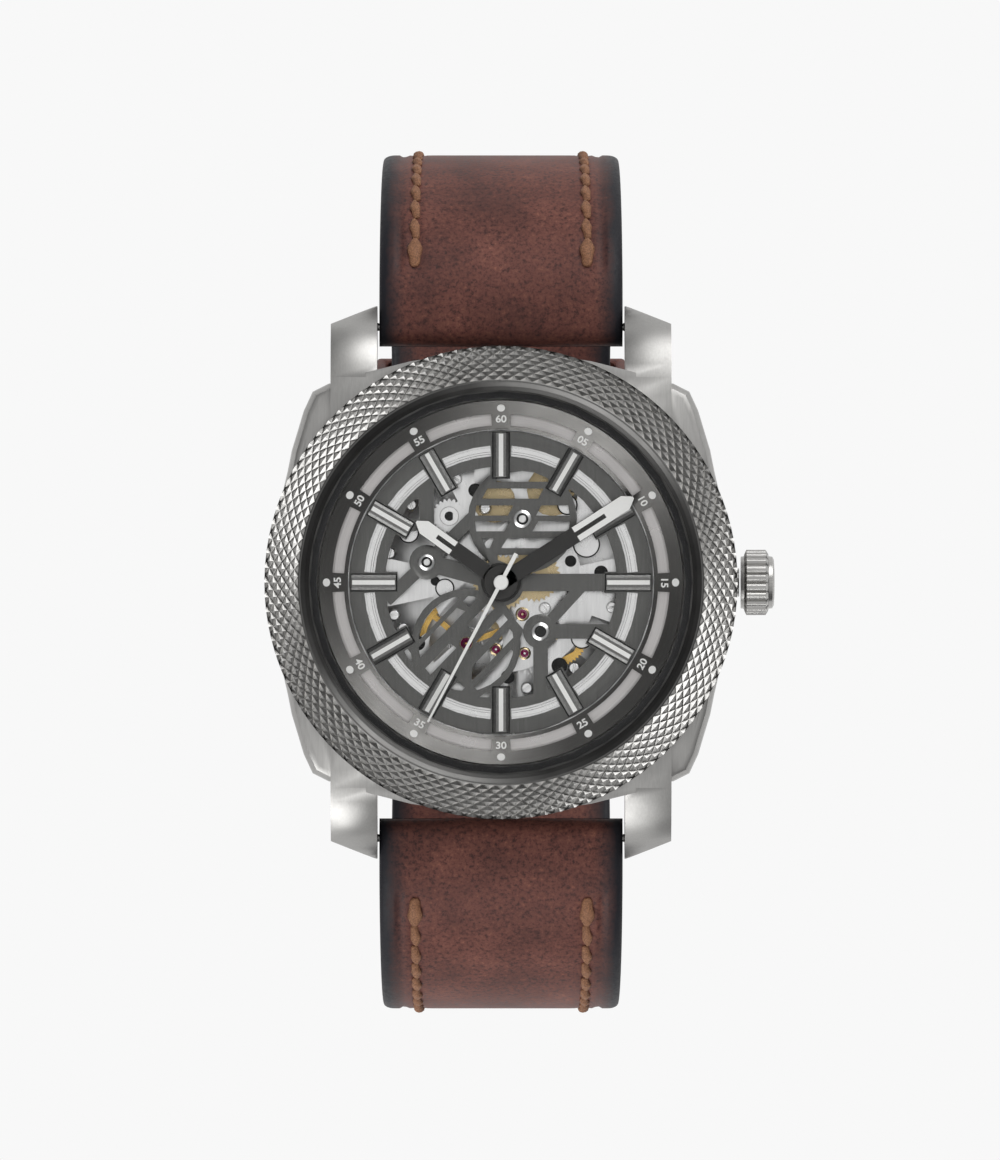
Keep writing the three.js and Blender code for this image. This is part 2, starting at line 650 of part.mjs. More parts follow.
const RATCHET_TEETH = 30;
const CROWN_WHEEL_TEETH = 20;
const WINDING_MODULE = gap(BARREL, CROWN_WHEEL) / ((RATCHET_TEETH + CROWN_WHEEL_TEETH) / 2);
const RATCHET_R = (RATCHET_TEETH * WINDING_MODULE) / 2;
const ratchet = wheel(RATCHET_TEETH, WINDING_MODULE, [3.2, 3.48], bearing(BARREL, CROWN_WHEEL), BARREL, 0.5);
add("ratchet_wheel", ratchet, STEEL);
const crownWheelTurn = meshed(CROWN_WHEEL_TEETH, CROWN_WHEEL, BARREL);
add("crown_wheel", wheel(CROWN_WHEEL_TEETH, WINDING_MODULE, [3.2, 4.0], crownWheelTurn, CROWN_WHEEL, 0.6), STEEL);

// The click's beak stops just short of the ratchet teeth, beside its post.
const CLICK_REACH = polar(RATCHET_R + 1.6, 152);
const CLICK = [BARREL[0] + CLICK_REACH[0], BARREL[1] + CLICK_REACH[1]];
add("click", geometryOf(cut(
  join(
    solid(disc(0.75, [3.2, 3.45], 16, CLICK)),
    solid(bar(CLICK, [CLICK[0] + 0.65, CLICK[1] - 1.35], 0.6, [3.2, 3.45])),
  ),
  solid(disc(0.3, CUT_ALL, 12, CLICK)),
)), STEEL);

// ---------------------------------------------------------------- going train
const THIRD_GAP = 3.4; // from the third axis to the centre, and to the fourth
const CENTRE_MODULE = THIRD_GAP / ((CENTRE_TEETH + LEAVES) / 2);
const THIRD_MODULE = THIRD_GAP / ((THIRD_TEETH + LEAVES) / 2);
const FOURTH_MODULE = gap(FOURTH, ESCAPE) / ((FOURTH_TEETH + LEAVES) / 2);

// An arbor with a wheel and a pinion on it. Its pivots run in the plate and the bridge.
function arbor({ at, r = 0.22, span, pivots, parts }) {
  const shaft = solid(disc(r, span, 12, at));
  const ends = solid(disc(0.12, pivots, 10, at));
  return join(shaft, ends, ...parts);
}
const PIVOT_SPAN = [BRIDGE[0] + 0.05, PLATE[1] - 0.05];
const SHAFT_SPAN = [BRIDGE[1] + 0.05, PLATE[0] - 0.05];

add("centre_wheel", geometryOf(cut(
  join(
    pipe(0.4, 0.2, [4.7, 6.48]),
    pipe(0.27, 0.2, [6.4, 9.0], 12),
    solid(wheel(CENTRE_LEAVES, BARREL_MODULE, [4.9, 5.75], bearing(CENTRE, BARREL), CENTRE, 0.3)),
    solid(wheel(CENTRE_TEETH, CENTRE_MODULE, [5.95, 6.15], bearing(CENTRE, THIRD), CENTRE, 0.3)),
  ),
  ...windows(4, 0.9, 2.5, [5.8, 6.3], CENTRE),
)), BRASS);

add("third_wheel", geometryOf(cut(
  arbor({
    at: THIRD,
    span: SHAFT_SPAN,
    pivots: PIVOT_SPAN,
    parts: [
      solid(wheel(LEAVES, CENTRE_MODULE, [5.85, 6.25], meshed(LEAVES, THIRD, CENTRE), THIRD)),
      solid(wheel(THIRD_TEETH, THIRD_MODULE, [4.15, 4.35], bearing(THIRD, CENTRE), THIRD)),
    ],
  })
)), BRASS);

add("fourth_wheel", geometryOf(cut(
  arbor({
    at: FOURTH,
    span: SHAFT_SPAN,
    pivots: PIVOT_SPAN,
    parts: [
      solid(wheel(LEAVES, THIRD_MODULE, [4.1, 4.45], pinionPhase(FOURTH), FOURTH)),
      solid(wheel(FOURTH_TEETH, FOURTH_MODULE, [5.1, 5.28], bearing(FOURTH, ESCAPE), FOURTH)),
    ],
  }),
  ...windows(4, 0.8, 2.3, [4.9, 5.5], FOURTH),
)), GILT);

// Where a pinion meets the third wheel, its gap faces the tooth of the wheel nearest the line of centres.
function pinionPhase(at) {
  const pitch = 360 / THIRD_TEETH;
  const line = bearing(THIRD, at);
  const first = bearing(THIRD, CENTRE);
  const past = (((line - first) % pitch) + pitch) % pitch; // from the last tooth to the line
  return bearing(at, THIRD) + 180 / LEAVES + (past * THIRD_TEETH) / LEAVES;
}

add("seconds_pinion", geometryOf(join(
  solid(disc(SECONDS_R - 0.03, [3.6, 10.15], 12)),
  solid(wheel(LEAVES, THIRD_MODULE, [4.05, 4.5], meshed(LEAVES, CENTRE, THIRD), CENTRE)),
)), STEEL);

// The escape wheel's teeth lean forward, and its tips pass clear of the pallet stones.
const ESCAPE_TEETH = 20;
const ESCAPE_R = 1.9;

function escapeOutline() {
  const pitch = 360 / ESCAPE_TEETH;
  const points = [];
  for (let i = 0; i < ESCAPE_TEETH; i++) {
    const a = i * pitch;
    points.push(polar(ESCAPE_R, a), polar(ESCAPE_R - 0.03, a + 0.16 * pitch));
    points.push(polar(ESCAPE_R - 0.45, a + 0.3 * pitch), polar(ESCAPE_R - 0.5, a + 0.75 * pitch));
  }
  return points.map(([x, y]) => [x + ESCAPE[0], y + ESCAPE[1]]);
}

add("escape_wheel", geometryOf(cut(
  arbor({
    at: ESCAPE,
    span: SHAFT_SPAN,
    pivots: PIVOT_SPAN,
    parts: [
      solid(slab(polygon(escapeOutline()), [5.42, 5.6])),
      solid(wheel(LEAVES, FOURTH_MODULE, [5.0, 5.36], meshed(LEAVES, ESCAPE, FOURTH), ESCAPE)),
    ],
  })
)), STEEL);

// ---------------------------------------------------------------- regulating organ
function palletFork() {
  const heights = [5.42, 5.6];
  const toWheel = bearing(PALLET, ESCAPE);
  const toBalance = bearing(PALLET, BALANCE);
  const stone = (turn) => {
    const around = polar(ESCAPE_R + 0.22, toWheel + 180 + turn);
    const at = [ESCAPE[0] + around[0], ESCAPE[1] + around[1]];
    return [solid(disc(0.17, heights, 8, at)), solid(bar(PALLET, at, 0.3, heights))];
  };
  const notch = [PALLET[0] + 1.55 * Math.cos(rad(toBalance)), PALLET[1] + 1.55 * Math.sin(rad(toBalance))];
  const body = join(
    solid(disc(0.35, heights, 16, PALLET)),
    solid(bar(PALLET, notch, 0.28, heights)),
    solid(disc(0.12, [5.3, PLATE[1] - 0.05], 10, PALLET)),
    ...stone(35),
    ...stone(-35),
  );
  return geometryOf(body);
}
add("pallet_fork", palletFork(), STEEL);

const BALANCE_R = 4.2;
const HAIRSPRING_R = 1.7;

function balanceWheel() {
  const rim = solid(ring(BALANCE_R, BALANCE_R - 0.5, [4.5, 4.95], 32, BALANCE));
  const arms = [20, 140, 260].map((a) => {
    const end = polar(BALANCE_R - 0.2, a);
    return solid(bar(BALANCE, [BALANCE[0] + end[0], BALANCE[1] + end[1]], 0.5, [4.6, 4.8]));
  });
  const staff = join(
    solid(disc(0.22, [4.3, PLATE[0] - 0.05], 12, BALANCE)),
    solid(disc(0.12, [3.3, PLATE[1] - 0.05], 10, BALANCE)),
    solid(disc(0.55, [4.5, 4.9], 14, BALANCE)),
    solid(disc(0.75, [5.75, 5.95], 14, BALANCE)),
  );
  return geometryOf(join(rim, ...arms, staff));
}
add("balance_wheel", balanceWheel(), GILT);

// The hairspring lies between the collet on the staff and the stud under the cock.
add("hairspring", spiral({
  at: BALANCE,
  from: 0.45,
  to: HAIRSPRING_R,
  turns: 5,
  steps: 12,
  strip: 0.06,
  heights: [4.0, 4.15],
}), STEEL);

// ---------------------------------------------------------------- keyless works and crown
const CROWN_R = 2.95;

function crown() {
  const from = 21.35;
  const flutes = 20;
  const outline = [];
  for (let i = 0; i < flutes; i++) {
    const a = (360 * i) / flutes;
    outline.push(polar(CROWN_R, a - 4.5), polar(CROWN_R, a + 4.5));
    outline.push(polar(CROWN_R - 0.3, a + 7), polar(CROWN_R - 0.3, a + 11));
  }
  const fluted = solid(across(polygon(outline.map(([y, z]) => [y, z + STEM_Z])), [from + 0.3, from + 2.4]));
  const core = solid(rod(2.5, [from, from + 2.7], [0, STEM_Z], 24));
  const cap = solid(rod(2.35, [from + 2.6, from + 3.0], [0, STEM_Z], 24));
  return geometryOf(join(fluted, core, cap));
}
add("crown", crown(), GUNMETAL);
add("winding_stem", geometryOf(join(
  solid(rod(0.3, [4.8, 12.5], [0, STEM_Z], 12)),
  solid(rod(0.5, [9.6, 21.2], [0, STEM_Z], 12)),
)), STEEL);

// A pinion or toothed sleeve on the stem, with a clear bore.
function onStem(count, module, span, bore) {
  const outline = polygon(teeth(count, module).map(([y, z]) => [y, z + STEM_Z]));
  outline.holes.push(polygon(circle(bore, 16, [0, STEM_Z])));
  return across(outline, span);
}
add("winding_pinion", onStem(12, 0.17, [7.9, 8.9], 0.42), STEEL);
add("clutch_wheel", onStem(10, 0.16, [6.0, 7.4], 0.42), STEEL);

// The setting lever turns on its screw beside the stem, and its pin reaches towards the stem's groove.
const LEVER = [9.6, -2.4];
add("setting_lever", geometryOf(join(
  solid(disc(0.8, [6.2, 6.42], 20, LEVER)),
  solid(bar(LEVER, [10.6, -0.2], 0.8, [6.2, 6.42])),
  solid(disc(0.18, [5.75, 6.42], 10, [10.6, -0.2])),
)), STEEL);

// ---------------------------------------------------------------- automatic winding
const ROTOR_R = 12.6;

function rotor() {
  const weight = solid(sector(9.9, ROTOR_R, 186, 354, [1.5, 2.6], 18));
  const web = solid(sector(1.2, 10.2, 200, 340, [1.7, 2.0], 12));
  const windowsInWeb = [215, 257, 299].map((a) => solid(sector(3.6, 8.8, a, a + 30, [1, 3], 3)));
  const hub = solid(ring(2.2, 1.55, [1.65, 2.25], 24));
  return geometryOf(cut(join(weight, web, hub), ...windowsInWeb, solid(disc(1.55, [1, 3], 24))));
}
add("rotor", rotor(), STEEL);
add("rotor_bearing", ring(1.5, ROTOR_AXIS_R, [1.65, 2.3], 24), STEEL);
const AUTO_TEETH = [24, 42]; // reverser and reduction wheels
const AUTO_MODULE = gap(REVERSER, REDUCTION) / ((AUTO_TEETH[0] + AUTO_TEETH[1]) / 2);
const reverserTurn = meshed(AUTO_TEETH[0], REVERSER, REDUCTION);
const reductionTurn = bearing(REDUCTION, REVERSER);
add("reverser_wheel", wheel(AUTO_TEETH[0], AUTO_MODULE, [2.4, 2.65], reverserTurn, REVERSER, 0.3), GILT);
add("reduction_wheel", wheel(AUTO_TEETH[1], AUTO_MODULE, [2.4, 2.65], reductionTurn, REDUCTION, 0.3), GILT);

// ---------------------------------------------------------------- strap and buckle
const STRAP_WIDE = 21.7; // at the lugs
const STRAP_NARROW = 20.0; // at the buckle
const INNER_THICK = 2.2;
const OUTER_THICK = 2.0;
const BUCKLE_BAR = [4.2, STRAP_BOTTOM]; // [y, z]
const STRAP_REACH = 37.5; // how far the middle of the strap stands from the watch's centre, along Y
const TURNING_Z = -16; // the height at which it runs straight down

// The middle line of one strap half from its spring bar to the bottom of the loop, as points in the Y-Z plane.
function strapLine(side, end) {
  const point = (y, z) => new THREE.Vector2(side * y, z);
  const widest = point(STRAP_REACH, TURNING_Z);
  const path = new THREE.CurvePath();
  const last = point(end, STRAP_BOTTOM);
  path.add(new THREE.CubicBezierCurve(point(BAR_Y, BAR_Z), point(29.4, 3.4), point(STRAP_REACH, -3), widest));
  path.add(new THREE.CubicBezierCurve(widest, point(STRAP_REACH, -36), point(22, STRAP_BOTTOM), last));
  return path.curves.flatMap((curve, i) => curve.getPoints(8).slice(i ? 1 : 0));
}

function offset(points, distance) {
  return points.map((p, i) => {
    const before = points[Math.max(i - 1, 0)];
    const after = points[Math.min(i + 1, points.length - 1)];
    const along = after.clone().sub(before).normalize();
    const d = typeof distance === "function" ? distance(i) : distance;
    return new THREE.Vector2(p.x - along.y * d, p.y + along.x * d);
  });
}

// A strap of varying thickness along a line, as wide as it is at that height.
function strap(line, thickness) {
  const outer = offset(line, (i) => thickness(i) / 2);
  const inner = offset(line, (i) => -thickness(i) / 2);
  const geometry = across(new THREE.Shape([...inner, ...outer.reverse()]), [-0.5, 0.5]);
  const position = geometry.getAttribute("position");
  for (let i = 0; i < position.count; i++) {
    const down = THREE.MathUtils.clamp((BAR_Z - position.getZ(i)) / (BAR_Z - STRAP_BOTTOM), 0, 1);
    position.setX(i, position.getX(i) * THREE.MathUtils.lerp(STRAP_WIDE, STRAP_NARROW, down));
  }
  return solid(geometry);
}

// Padded and folded round the spring bar at the lug, thinner from there on.
function padding(thin) {
  return (i) => thin + (3.5 - thin) * Math.max(0, 1 - i / 6);
}

function buckleSide() {
  const line = strapLine(1, BUCKLE_BAR[0]);
  const fold = solid(rod(1.72, [-STRAP_WIDE / 2, STRAP_WIDE / 2], [BAR_Y, BAR_Z], 24));
  const loop = solid(rod(1.1, [-STRAP_NARROW / 2, STRAP_NARROW / 2], BUCKLE_BAR, 16));
  const tongueGap = solid(across(polygon([[0, -52], [6.4, -52], [6.4, -45], [0, -45]]), [-1.4, 1.4]));
  const barHoles = [rod(0.85, [-12, 12], [BAR_Y, BAR_Z], 16), rod(0.7, [-12, 12], BUCKLE_BAR, 14)].map(solid);
  return geometryOf(cut(join(strap(line, padding(INNER_THICK)), fold, loop), tongueGap, ...barHoles));
}
add("strap_buckle_side", buckleSide(), LEATHER);

// The other half passes through the buckle and lies outside the first as far as its tip.
const TAIL_GAP = 2.55;

function tailLine() {
  const first = strapLine(-1, 12);
  const bend = [[-8, -48.95], [-5.2, -49.5], [-2, -50.3], [1.5, -50.95]];
  const throughBuckle = bend.map((p) => new THREE.Vector2(...p));
  const beside = offset(strapLine(1, BUCKLE_BAR[0]).reverse(), -TAIL_GAP);
  return [...first, ...throughBuckle, ...beside.filter((p) => p.x > 5.5 && p.x < 29 && p.y < -30)];
}

function holeSide() {
  const fold = solid(rod(1.72, [-STRAP_WIDE / 2, STRAP_WIDE / 2], [-BAR_Y, BAR_Z], 24));
  const tongueHole = solid(across(polygon([[-5.2, -53], [4.3, -53], [4.3, -47], [-5.2, -47]]), [-1.25, 1.25]));
  const spareHoles = [-12, 18].map((y) => solid(disc(0.9, [-56, -40], 12, [0, y])));
  const barHole = solid(rod(0.85, [-12, 12], [-BAR_Y, BAR_Z], 16));
  return geometryOf(cut(join(strap(tailLine(), padding(OUTER_THICK)), fold), tongueHole, ...spareHoles, barHole));
}
add("strap_hole_side", holeSide(), LEATHER);

function buckleFrame() {
  const arm = polygon([[5.8, -47.6], [3.0, -47.3], [-6.8, -50.8], [-6.8, REST_Z], [1.6, REST_Z], [5.8, -50.4]]);
  const arms = [[10.45, 12.2], [-12.2, -10.45]].map((span) => solid(across(arm, span)));
  const front = polygon([[-6.8, -51.0], [-4.6, -51.0], [-4.6, REST_Z], [-6.8, REST_Z]]);
  const notch = polygon([[-8, -52.1], [-4, -51.6], [-4, -55], [-8, -55]]);
  const body = join(...arms, solid(across(front, [-10.6, 10.6])));
  const holes = solid(rod(0.6, [-11.9, 11.9], BUCKLE_BAR, 12));
  return geometryOf(cut(body, solid(across(notch, [-1.3, 1.3])), holes));
}
add("buckle_frame", buckleFrame(), STEEL);
add("buckle_bar", rod(0.5, [-11.7, 11.7], BUCKLE_BAR, 12), STEEL);

function tongue() {
  const [y, z] = BUCKLE_BAR;
  const eye = solid(rod(1.15, [-0.9, 0.9], BUCKLE_BAR, 20));
  const arm = polygon([
    [y - 0.2, z - 1.1],
    [y - 0.2, z + 0.2],
    [y - 4.6, -50.7],
    [-6.4, -52.35],
    [-6.6, -53.2],
    [-5.6, -53.3],
    [-1, -52.2],
  ]);
  const blade = solid(across(arm, [-0.85, 0.85]));
  return geometryOf(join(eye, blade).subtract(solid(rod(0.62, [-3, 3], BUCKLE_BAR, 14))));
}
add("buckle_tongue", tongue(), STEEL);

// A keeper is a band round both strap layers, square to the strap where it sits.
function keeper(name, index, length) {
  const line = strapLine(1, BUCKLE_BAR[0]);
  const here = line[index];
  const along = line[index + 1].clone().sub(line[index - 1]).normalize();
  const width = STRAP_NARROW + 1.1;
  const inside = INNER_THICK / 2 + 0.35;
  const outside = TAIL_GAP + OUTER_THICK / 2 + 0.4;
  const wall = 0.95;
  const box = (x, low, high) => polygon([[-x, low], [x, low], [x, high], [-x, high]]);
  const shape = box(width / 2 + wall, -outside - wall, inside + wall);
  shape.holes.push(box(width / 2, -outside, inside));
  const band = slab(shape, [-length / 2, length / 2]);
  const mesh = add(name, band, LEATHER, [0, here.x, here.y]);
  const forward = new THREE.Vector3(0, along.x, along.y);
  const side = new THREE.Vector3(1, 0, 0);
  const up = new THREE.Vector3().crossVectors(forward, side);
  mesh.quaternion.setFromRotationMatrix(new THREE.Matrix4().makeBasis(side, up, forward));
}
keeper("keeper_fixed", 15, 4.0);
keeper("keeper_sliding", 14, 4.6);

export default watch;
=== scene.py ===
"""Looks of an automatic skeleton wristwatch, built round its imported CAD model.

Lengths in this script are millimetres, and MM turns them into Blender's metres when a mesh is made.
The frame is the CAD's own: +Z out through the crystal, +Y to twelve o'clock, +X to the crown.
"""
import json
import math

import bpy
from mathutils import Matrix, Vector


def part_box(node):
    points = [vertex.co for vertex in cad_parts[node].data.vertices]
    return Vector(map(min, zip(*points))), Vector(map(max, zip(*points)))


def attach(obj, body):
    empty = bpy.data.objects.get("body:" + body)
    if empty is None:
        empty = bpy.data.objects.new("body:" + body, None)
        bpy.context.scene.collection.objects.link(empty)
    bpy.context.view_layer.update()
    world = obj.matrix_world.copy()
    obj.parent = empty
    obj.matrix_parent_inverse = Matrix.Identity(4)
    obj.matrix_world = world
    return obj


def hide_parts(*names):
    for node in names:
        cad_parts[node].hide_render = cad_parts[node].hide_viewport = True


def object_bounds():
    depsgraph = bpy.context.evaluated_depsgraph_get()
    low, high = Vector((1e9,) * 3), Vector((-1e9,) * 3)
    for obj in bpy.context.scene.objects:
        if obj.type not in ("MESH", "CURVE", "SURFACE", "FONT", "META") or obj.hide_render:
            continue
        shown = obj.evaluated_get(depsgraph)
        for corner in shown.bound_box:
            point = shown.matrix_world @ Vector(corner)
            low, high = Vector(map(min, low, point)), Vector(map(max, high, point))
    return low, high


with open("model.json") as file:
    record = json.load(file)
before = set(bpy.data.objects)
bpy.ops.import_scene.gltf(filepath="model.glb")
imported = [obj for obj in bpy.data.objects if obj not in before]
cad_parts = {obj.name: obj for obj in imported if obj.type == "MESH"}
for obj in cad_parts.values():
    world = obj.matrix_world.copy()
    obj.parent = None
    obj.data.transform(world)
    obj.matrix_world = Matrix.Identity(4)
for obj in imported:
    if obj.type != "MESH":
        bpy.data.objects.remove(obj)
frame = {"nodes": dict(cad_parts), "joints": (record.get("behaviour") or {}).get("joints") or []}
cad_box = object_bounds()

MM = 0.001
TAU = 2 * math.pi
scene = bpy.context.scene


# ---------------------------------------------------------------- places read from the frame
def extent(node):
    """Lowest and highest corner of a CAD node, in millimetres."""
    low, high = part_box(node)
    return low / MM, high / MM


BEZEL_LOW, BEZEL_HIGH = extent("bezel")
BEZEL_R = BEZEL_HIGH.x
BEZEL_TOP = BEZEL_HIGH.z
DIAL_TOP = extent("skeleton_dial")[1].z
PLATE_TOP = extent("main_plate")[1].z
STEM_Z = (extent("crown")[0].z + extent("crown")[1].z) / 2
REST_Z = cad_box[0][2] / MM
HOUR_HAND_Z = extent("hour_hand")[0].z
MINUTE_HAND_Z = extent("minute_hand")[0].z
SECONDS_HAND_Z = extent("seconds_hand")[0].z
BAR_Y = extent("spring_bar_12")[0].y + 0.75
BAR_Z = extent("spring_bar_12")[0].z + 0.75
BUCKLE_BAR_Z = (extent("buckle_bar")[0].z + extent("buckle_bar")[1].z) / 2


# ---------------------------------------------------------------- materials
def shader(name, colour, roughness, metallic=0.0):
    """A new material and its Principled shader."""
    material = bpy.data.materials.new(name)
    material.use_nodes = True
    principled = material.node_tree.nodes["Principled BSDF"]
    principled.inputs["Base Color"].default_value = (*colour, 1)
    principled.inputs["Roughness"].default_value = roughness
    principled.inputs["Metallic"].default_value = metallic
    return material, principled


def node(material, kind, **settings):
    made = material.node_tree.nodes.new(kind)
    for key, value in settings.items():
        if hasattr(made, key):
            setattr(made, key, value)
        else:
            made.inputs[key.replace("_", " ")].default_value = value
    return made


def link(material, output, target):
    material.node_tree.links.new(output, target)


def object_coordinates(material, stretch=(1, 1, 1)):
    """Object coordinates in metres, stretched for a pattern that runs along one direction."""
    coordinates = node(material, "ShaderNodeTexCoord")
    mapping = node(material, "ShaderNodeMapping")
    mapping.inputs["Scale"].default_value = stretch
    link(material, coordinates.outputs["Object"], mapping.inputs["Vector"])
    return mapping.outputs["Vector"]


def noise(material, vector, scale, detail=4.0, roughness=0.55):
    made = node(material, "ShaderNodeTexNoise", Scale=scale, Detail=detail, Roughness=roughness)
    link(material, vector, made.inputs["Vector"])
    return made.outputs["Fac"]


def ramp(material, factor, stops):
    """A colour ramp over (position, colour) stops."""
    made = node(material, "ShaderNodeValToRGB")
    elements = made.color_ramp.elements
    while len(elements) < len(stops):
        elements.new(0.5)
    for element, (position, colour) in zip(elements, stops):
        element.position = position
        element.color = (*colour, 1)
    link(material, factor, made.inputs["Fac"])
    return made.outputs["Color"]


def span(material, factor, low, high, source=(0.0, 1.0)):
    made = node(material, "ShaderNodeMapRange")
    made.inputs["From Min"].default_value = source[0]
    made.inputs["From Max"].default_value = source[1]
    made.inputs["To Min"].default_value = low
    made.inputs["To Max"].default_value = high
    link(material, factor, made.inputs["Value"])
    return made.outputs["Result"]


def bump(material, principled, height, distance, strength=1.0, under=None):
    made = node(material, "ShaderNodeBump", Strength=strength, Distance=distance)
    link(material, height, made.inputs["Height"])
    if under is not None:
        link(material, under, made.inputs["Normal"])
    link(material, made.outputs["Normal"], principled.inputs["Normal"])
    return made.outputs["Normal"]


def scaled(colour, factor):
    return tuple(min(1.0, c * factor) for c in colour)


def brushed_metal(name, colour, roughness=0.34, stretch=(1, 1, 1), grain=9000, depth=3e-6, spread=0.22):
    """Metal with fine lines along the direction in which the pattern is stretched least."""
    material, principled = shader(name, colour, roughness, 1.0)
    vector = object_coordinates(material, stretch)
    lines = noise(material, vector, grain, 3.0, 0.7)
    clouds = noise(material, object_coordinates(material), 220, 3.0, 0.5)
    tint = ramp(material, lines, [(0.25, scaled(colour, 1 - spread)), (0.75, scaled(colour, 1 + spread))])
    link(material, tint, principled.inputs["Base Color"])
    rough = span(material, clouds, roughness - 0.06, roughness + 0.08, (0.3, 0.7))
    link(material, rough, principled.inputs["Roughness"])
    bump(material, principled, lines, depth, 0.7)
    return material


def circular_metal(name, colour, roughness=0.34, grain=16000, spread=0.16, depth=2e-6):
    """Metal turned on a lathe: fine lines round the hands' axis."""
    material, principled = shader(name, colour, roughness, 1.0)
    coordinates = node(material, "ShaderNodeTexCoord")
    split = node(material, "ShaderNodeSeparateXYZ")
    link(material, coordinates.outputs["Object"], split.inputs["Vector"])
    total = node(material, "ShaderNodeMath", operation="ADD")
    for axis, target in zip("XY", total.inputs):
        square = node(material, "ShaderNodeMath", operation="MULTIPLY")
        for socket in square.inputs[:2]:
            link(material, split.outputs[axis], socket)
        link(material, square.outputs[0], target)
    radius = node(material, "ShaderNodeMath", operation="SQRT")
    link(material, total.outputs[0], radius.inputs[0])
    from_axis = node(material, "ShaderNodeCombineXYZ")
    link(material, radius.outputs[0], from_axis.inputs["X"])
    link(material, split.outputs["Z"], from_axis.inputs["Z"])
    lines = noise(material, from_axis.outputs["Vector"], grain, 2.0, 0.7)
    tint = ramp(material, lines, [(0.3, scaled(colour, 1 - spread)), (0.7, scaled(colour, 1 + spread))])
    link(material, tint, principled.inputs["Base Color"])
    clouds = noise(material, object_coordinates(material), 300, 2.0, 0.5)
    rough = span(material, clouds, roughness - 0.05, roughness + 0.06, (0.3, 0.7))
    link(material, rough, principled.inputs["Roughness"])
    bump(material, principled, lines, depth, 0.6)
    return material


def polished_metal(name, colour, roughness=0.16):
    """Bright metal with faint handling marks in its gloss."""
    material, principled = shader(name, colour, roughness, 1.0)
    marks = noise(material, object_coordinates(material), 900, 5.0, 0.6)
    gloss = span(material, marks, roughness - 0.05, roughness + 0.1, (0.3, 0.7))
    link(material, gloss, principled.inputs["Roughness"])
    tint = ramp(material, marks, [(0.3, scaled(colour, 0.93)), (0.7, scaled(colour, 1.05))])
    link(material, tint, principled.inputs["Base Color"])
    bump(material, principled, marks, 1.5e-6, 0.4)
    return material


def lacquer(name, colour, roughness=0.45, speck=0.06):
    """A painted or printed surface with a faint orange-peel texture."""
    material, principled = shader(name, colour, roughness)
    peel = noise(material, object_coordinates(material), 5000, 3.0, 0.6)
    tint = ramp(material, peel, [(0.3, scaled(colour, 1 - speck)), (0.7, scaled(colour, 1 + speck))])
    link(material, tint, principled.inputs["Base Color"])
    gloss = span(material, peel, roughness - 0.05, roughness + 0.07, (0.3, 0.7))
    link(material, gloss, principled.inputs["Roughness"])
    bump(material, principled, peel, 2e-6, 0.5)
    return material


def ruby(name):
    material, principled = shader(name, (0.42, 0.02, 0.12), 0.08)
    principled.inputs["Transmission Weight"].default_value = 0.25
    principled.inputs["IOR"].default_value = 1.76
    depth = noise(material, object_coordinates(material), 1500, 2.0)
    tint = ramp(material, depth, [(0.3, (0.30, 0.012, 0.09)), (0.7, (0.55, 0.05, 0.22))])
    link(material, tint, principled.inputs["Base Color"])
    return material


def crystal(name):
    """Clear flat glass that lets light through to the dial."""
    material, principled = shader(name, (0.0, 0.0, 0.0), 0.02)
    principled.inputs["Alpha"].default_value = 0.05
    principled.inputs["IOR"].default_value = 1.45
    film = noise(material, object_coordinates(material), 60, 2.0)
    link(material, span(material, film, 0.015, 0.035, (0.3, 0.7)), principled.inputs["Roughness"])
    material.surface_render_method = "BLENDED"
    return material


LEATHER_BROWN = (0.118, 0.038, 0.029)
LEATHER_RED = (0.165, 0.056, 0.042)
LEATHER_DARK = (0.078, 0.025, 0.020)
BURNISH = (0.010, 0.010, 0.014)


def leather(name, edges=True):
    """Fine-grained brown leather. The attribute "edge" is 1 at the burnished edges and 0 in the middle."""
    material, principled = shader(name, LEATHER_BROWN, 0.52)
    principled.inputs["Specular IOR Level"].default_value = 0.28
    place = object_coordinates(material)
    clouds = noise(material, place, 170, 5.0, 0.6)
    grain = noise(material, place, 2600, 5.0, 0.75)
    brown = ramp(material, clouds, [(0.3, LEATHER_DARK), (0.5, LEATHER_BROWN), (0.72, LEATHER_RED)])
    fleck = ramp(material, grain, [(0.36, (0.30, 0.26, 0.26)), (0.5, (1, 1, 1)), (0.60, (1.15, 1.3, 1.2)),
                                   (0.68, (1.8, 2.0, 1.8))])
    mixed = node(material, "ShaderNodeMix", data_type="RGBA", blend_type="MULTIPLY")
    mixed.inputs["Factor"].default_value = 1.0
    link(material, brown, mixed.inputs["A"])
    link(material, fleck, mixed.inputs["B"])
    colour = mixed.outputs["Result"]
    if edges:
        edge = node(material, "ShaderNodeAttribute", attribute_name="edge")
        wander = node(material, "ShaderNodeMath", operation="MULTIPLY_ADD")
        link(material, noise(material, place, 500, 3.0), wander.inputs[0])
        wander.inputs[1].default_value = 0.25
        link(material, edge.outputs["Fac"], wander.inputs[2])
        mask = span(material, wander.outputs[0], 0, 1, (0.50, 0.98))
        dark = node(material, "ShaderNodeMix", data_type="RGBA")
        link(material, mask, dark.inputs["Factor"])
        link(material, colour, dark.inputs["A"])
        dark.inputs["B"].default_value = (*BURNISH, 1)
        colour = dark.outputs["Result"]
    link(material, colour, principled.inputs["Base Color"])
    link(material, span(material, grain, 0.46, 0.66, (0.3, 0.7)), principled.inputs["Roughness"])
    pores = node(material, "ShaderNodeTexVoronoi", Scale=2600)
    link(material, place, pores.inputs["Vector"])
    first = bump(material, principled, pores.outputs["Distance"], 2.5e-5, 0.35)
    bump(material, principled, grain, 4e-5, 0.5, under=first)
    return material


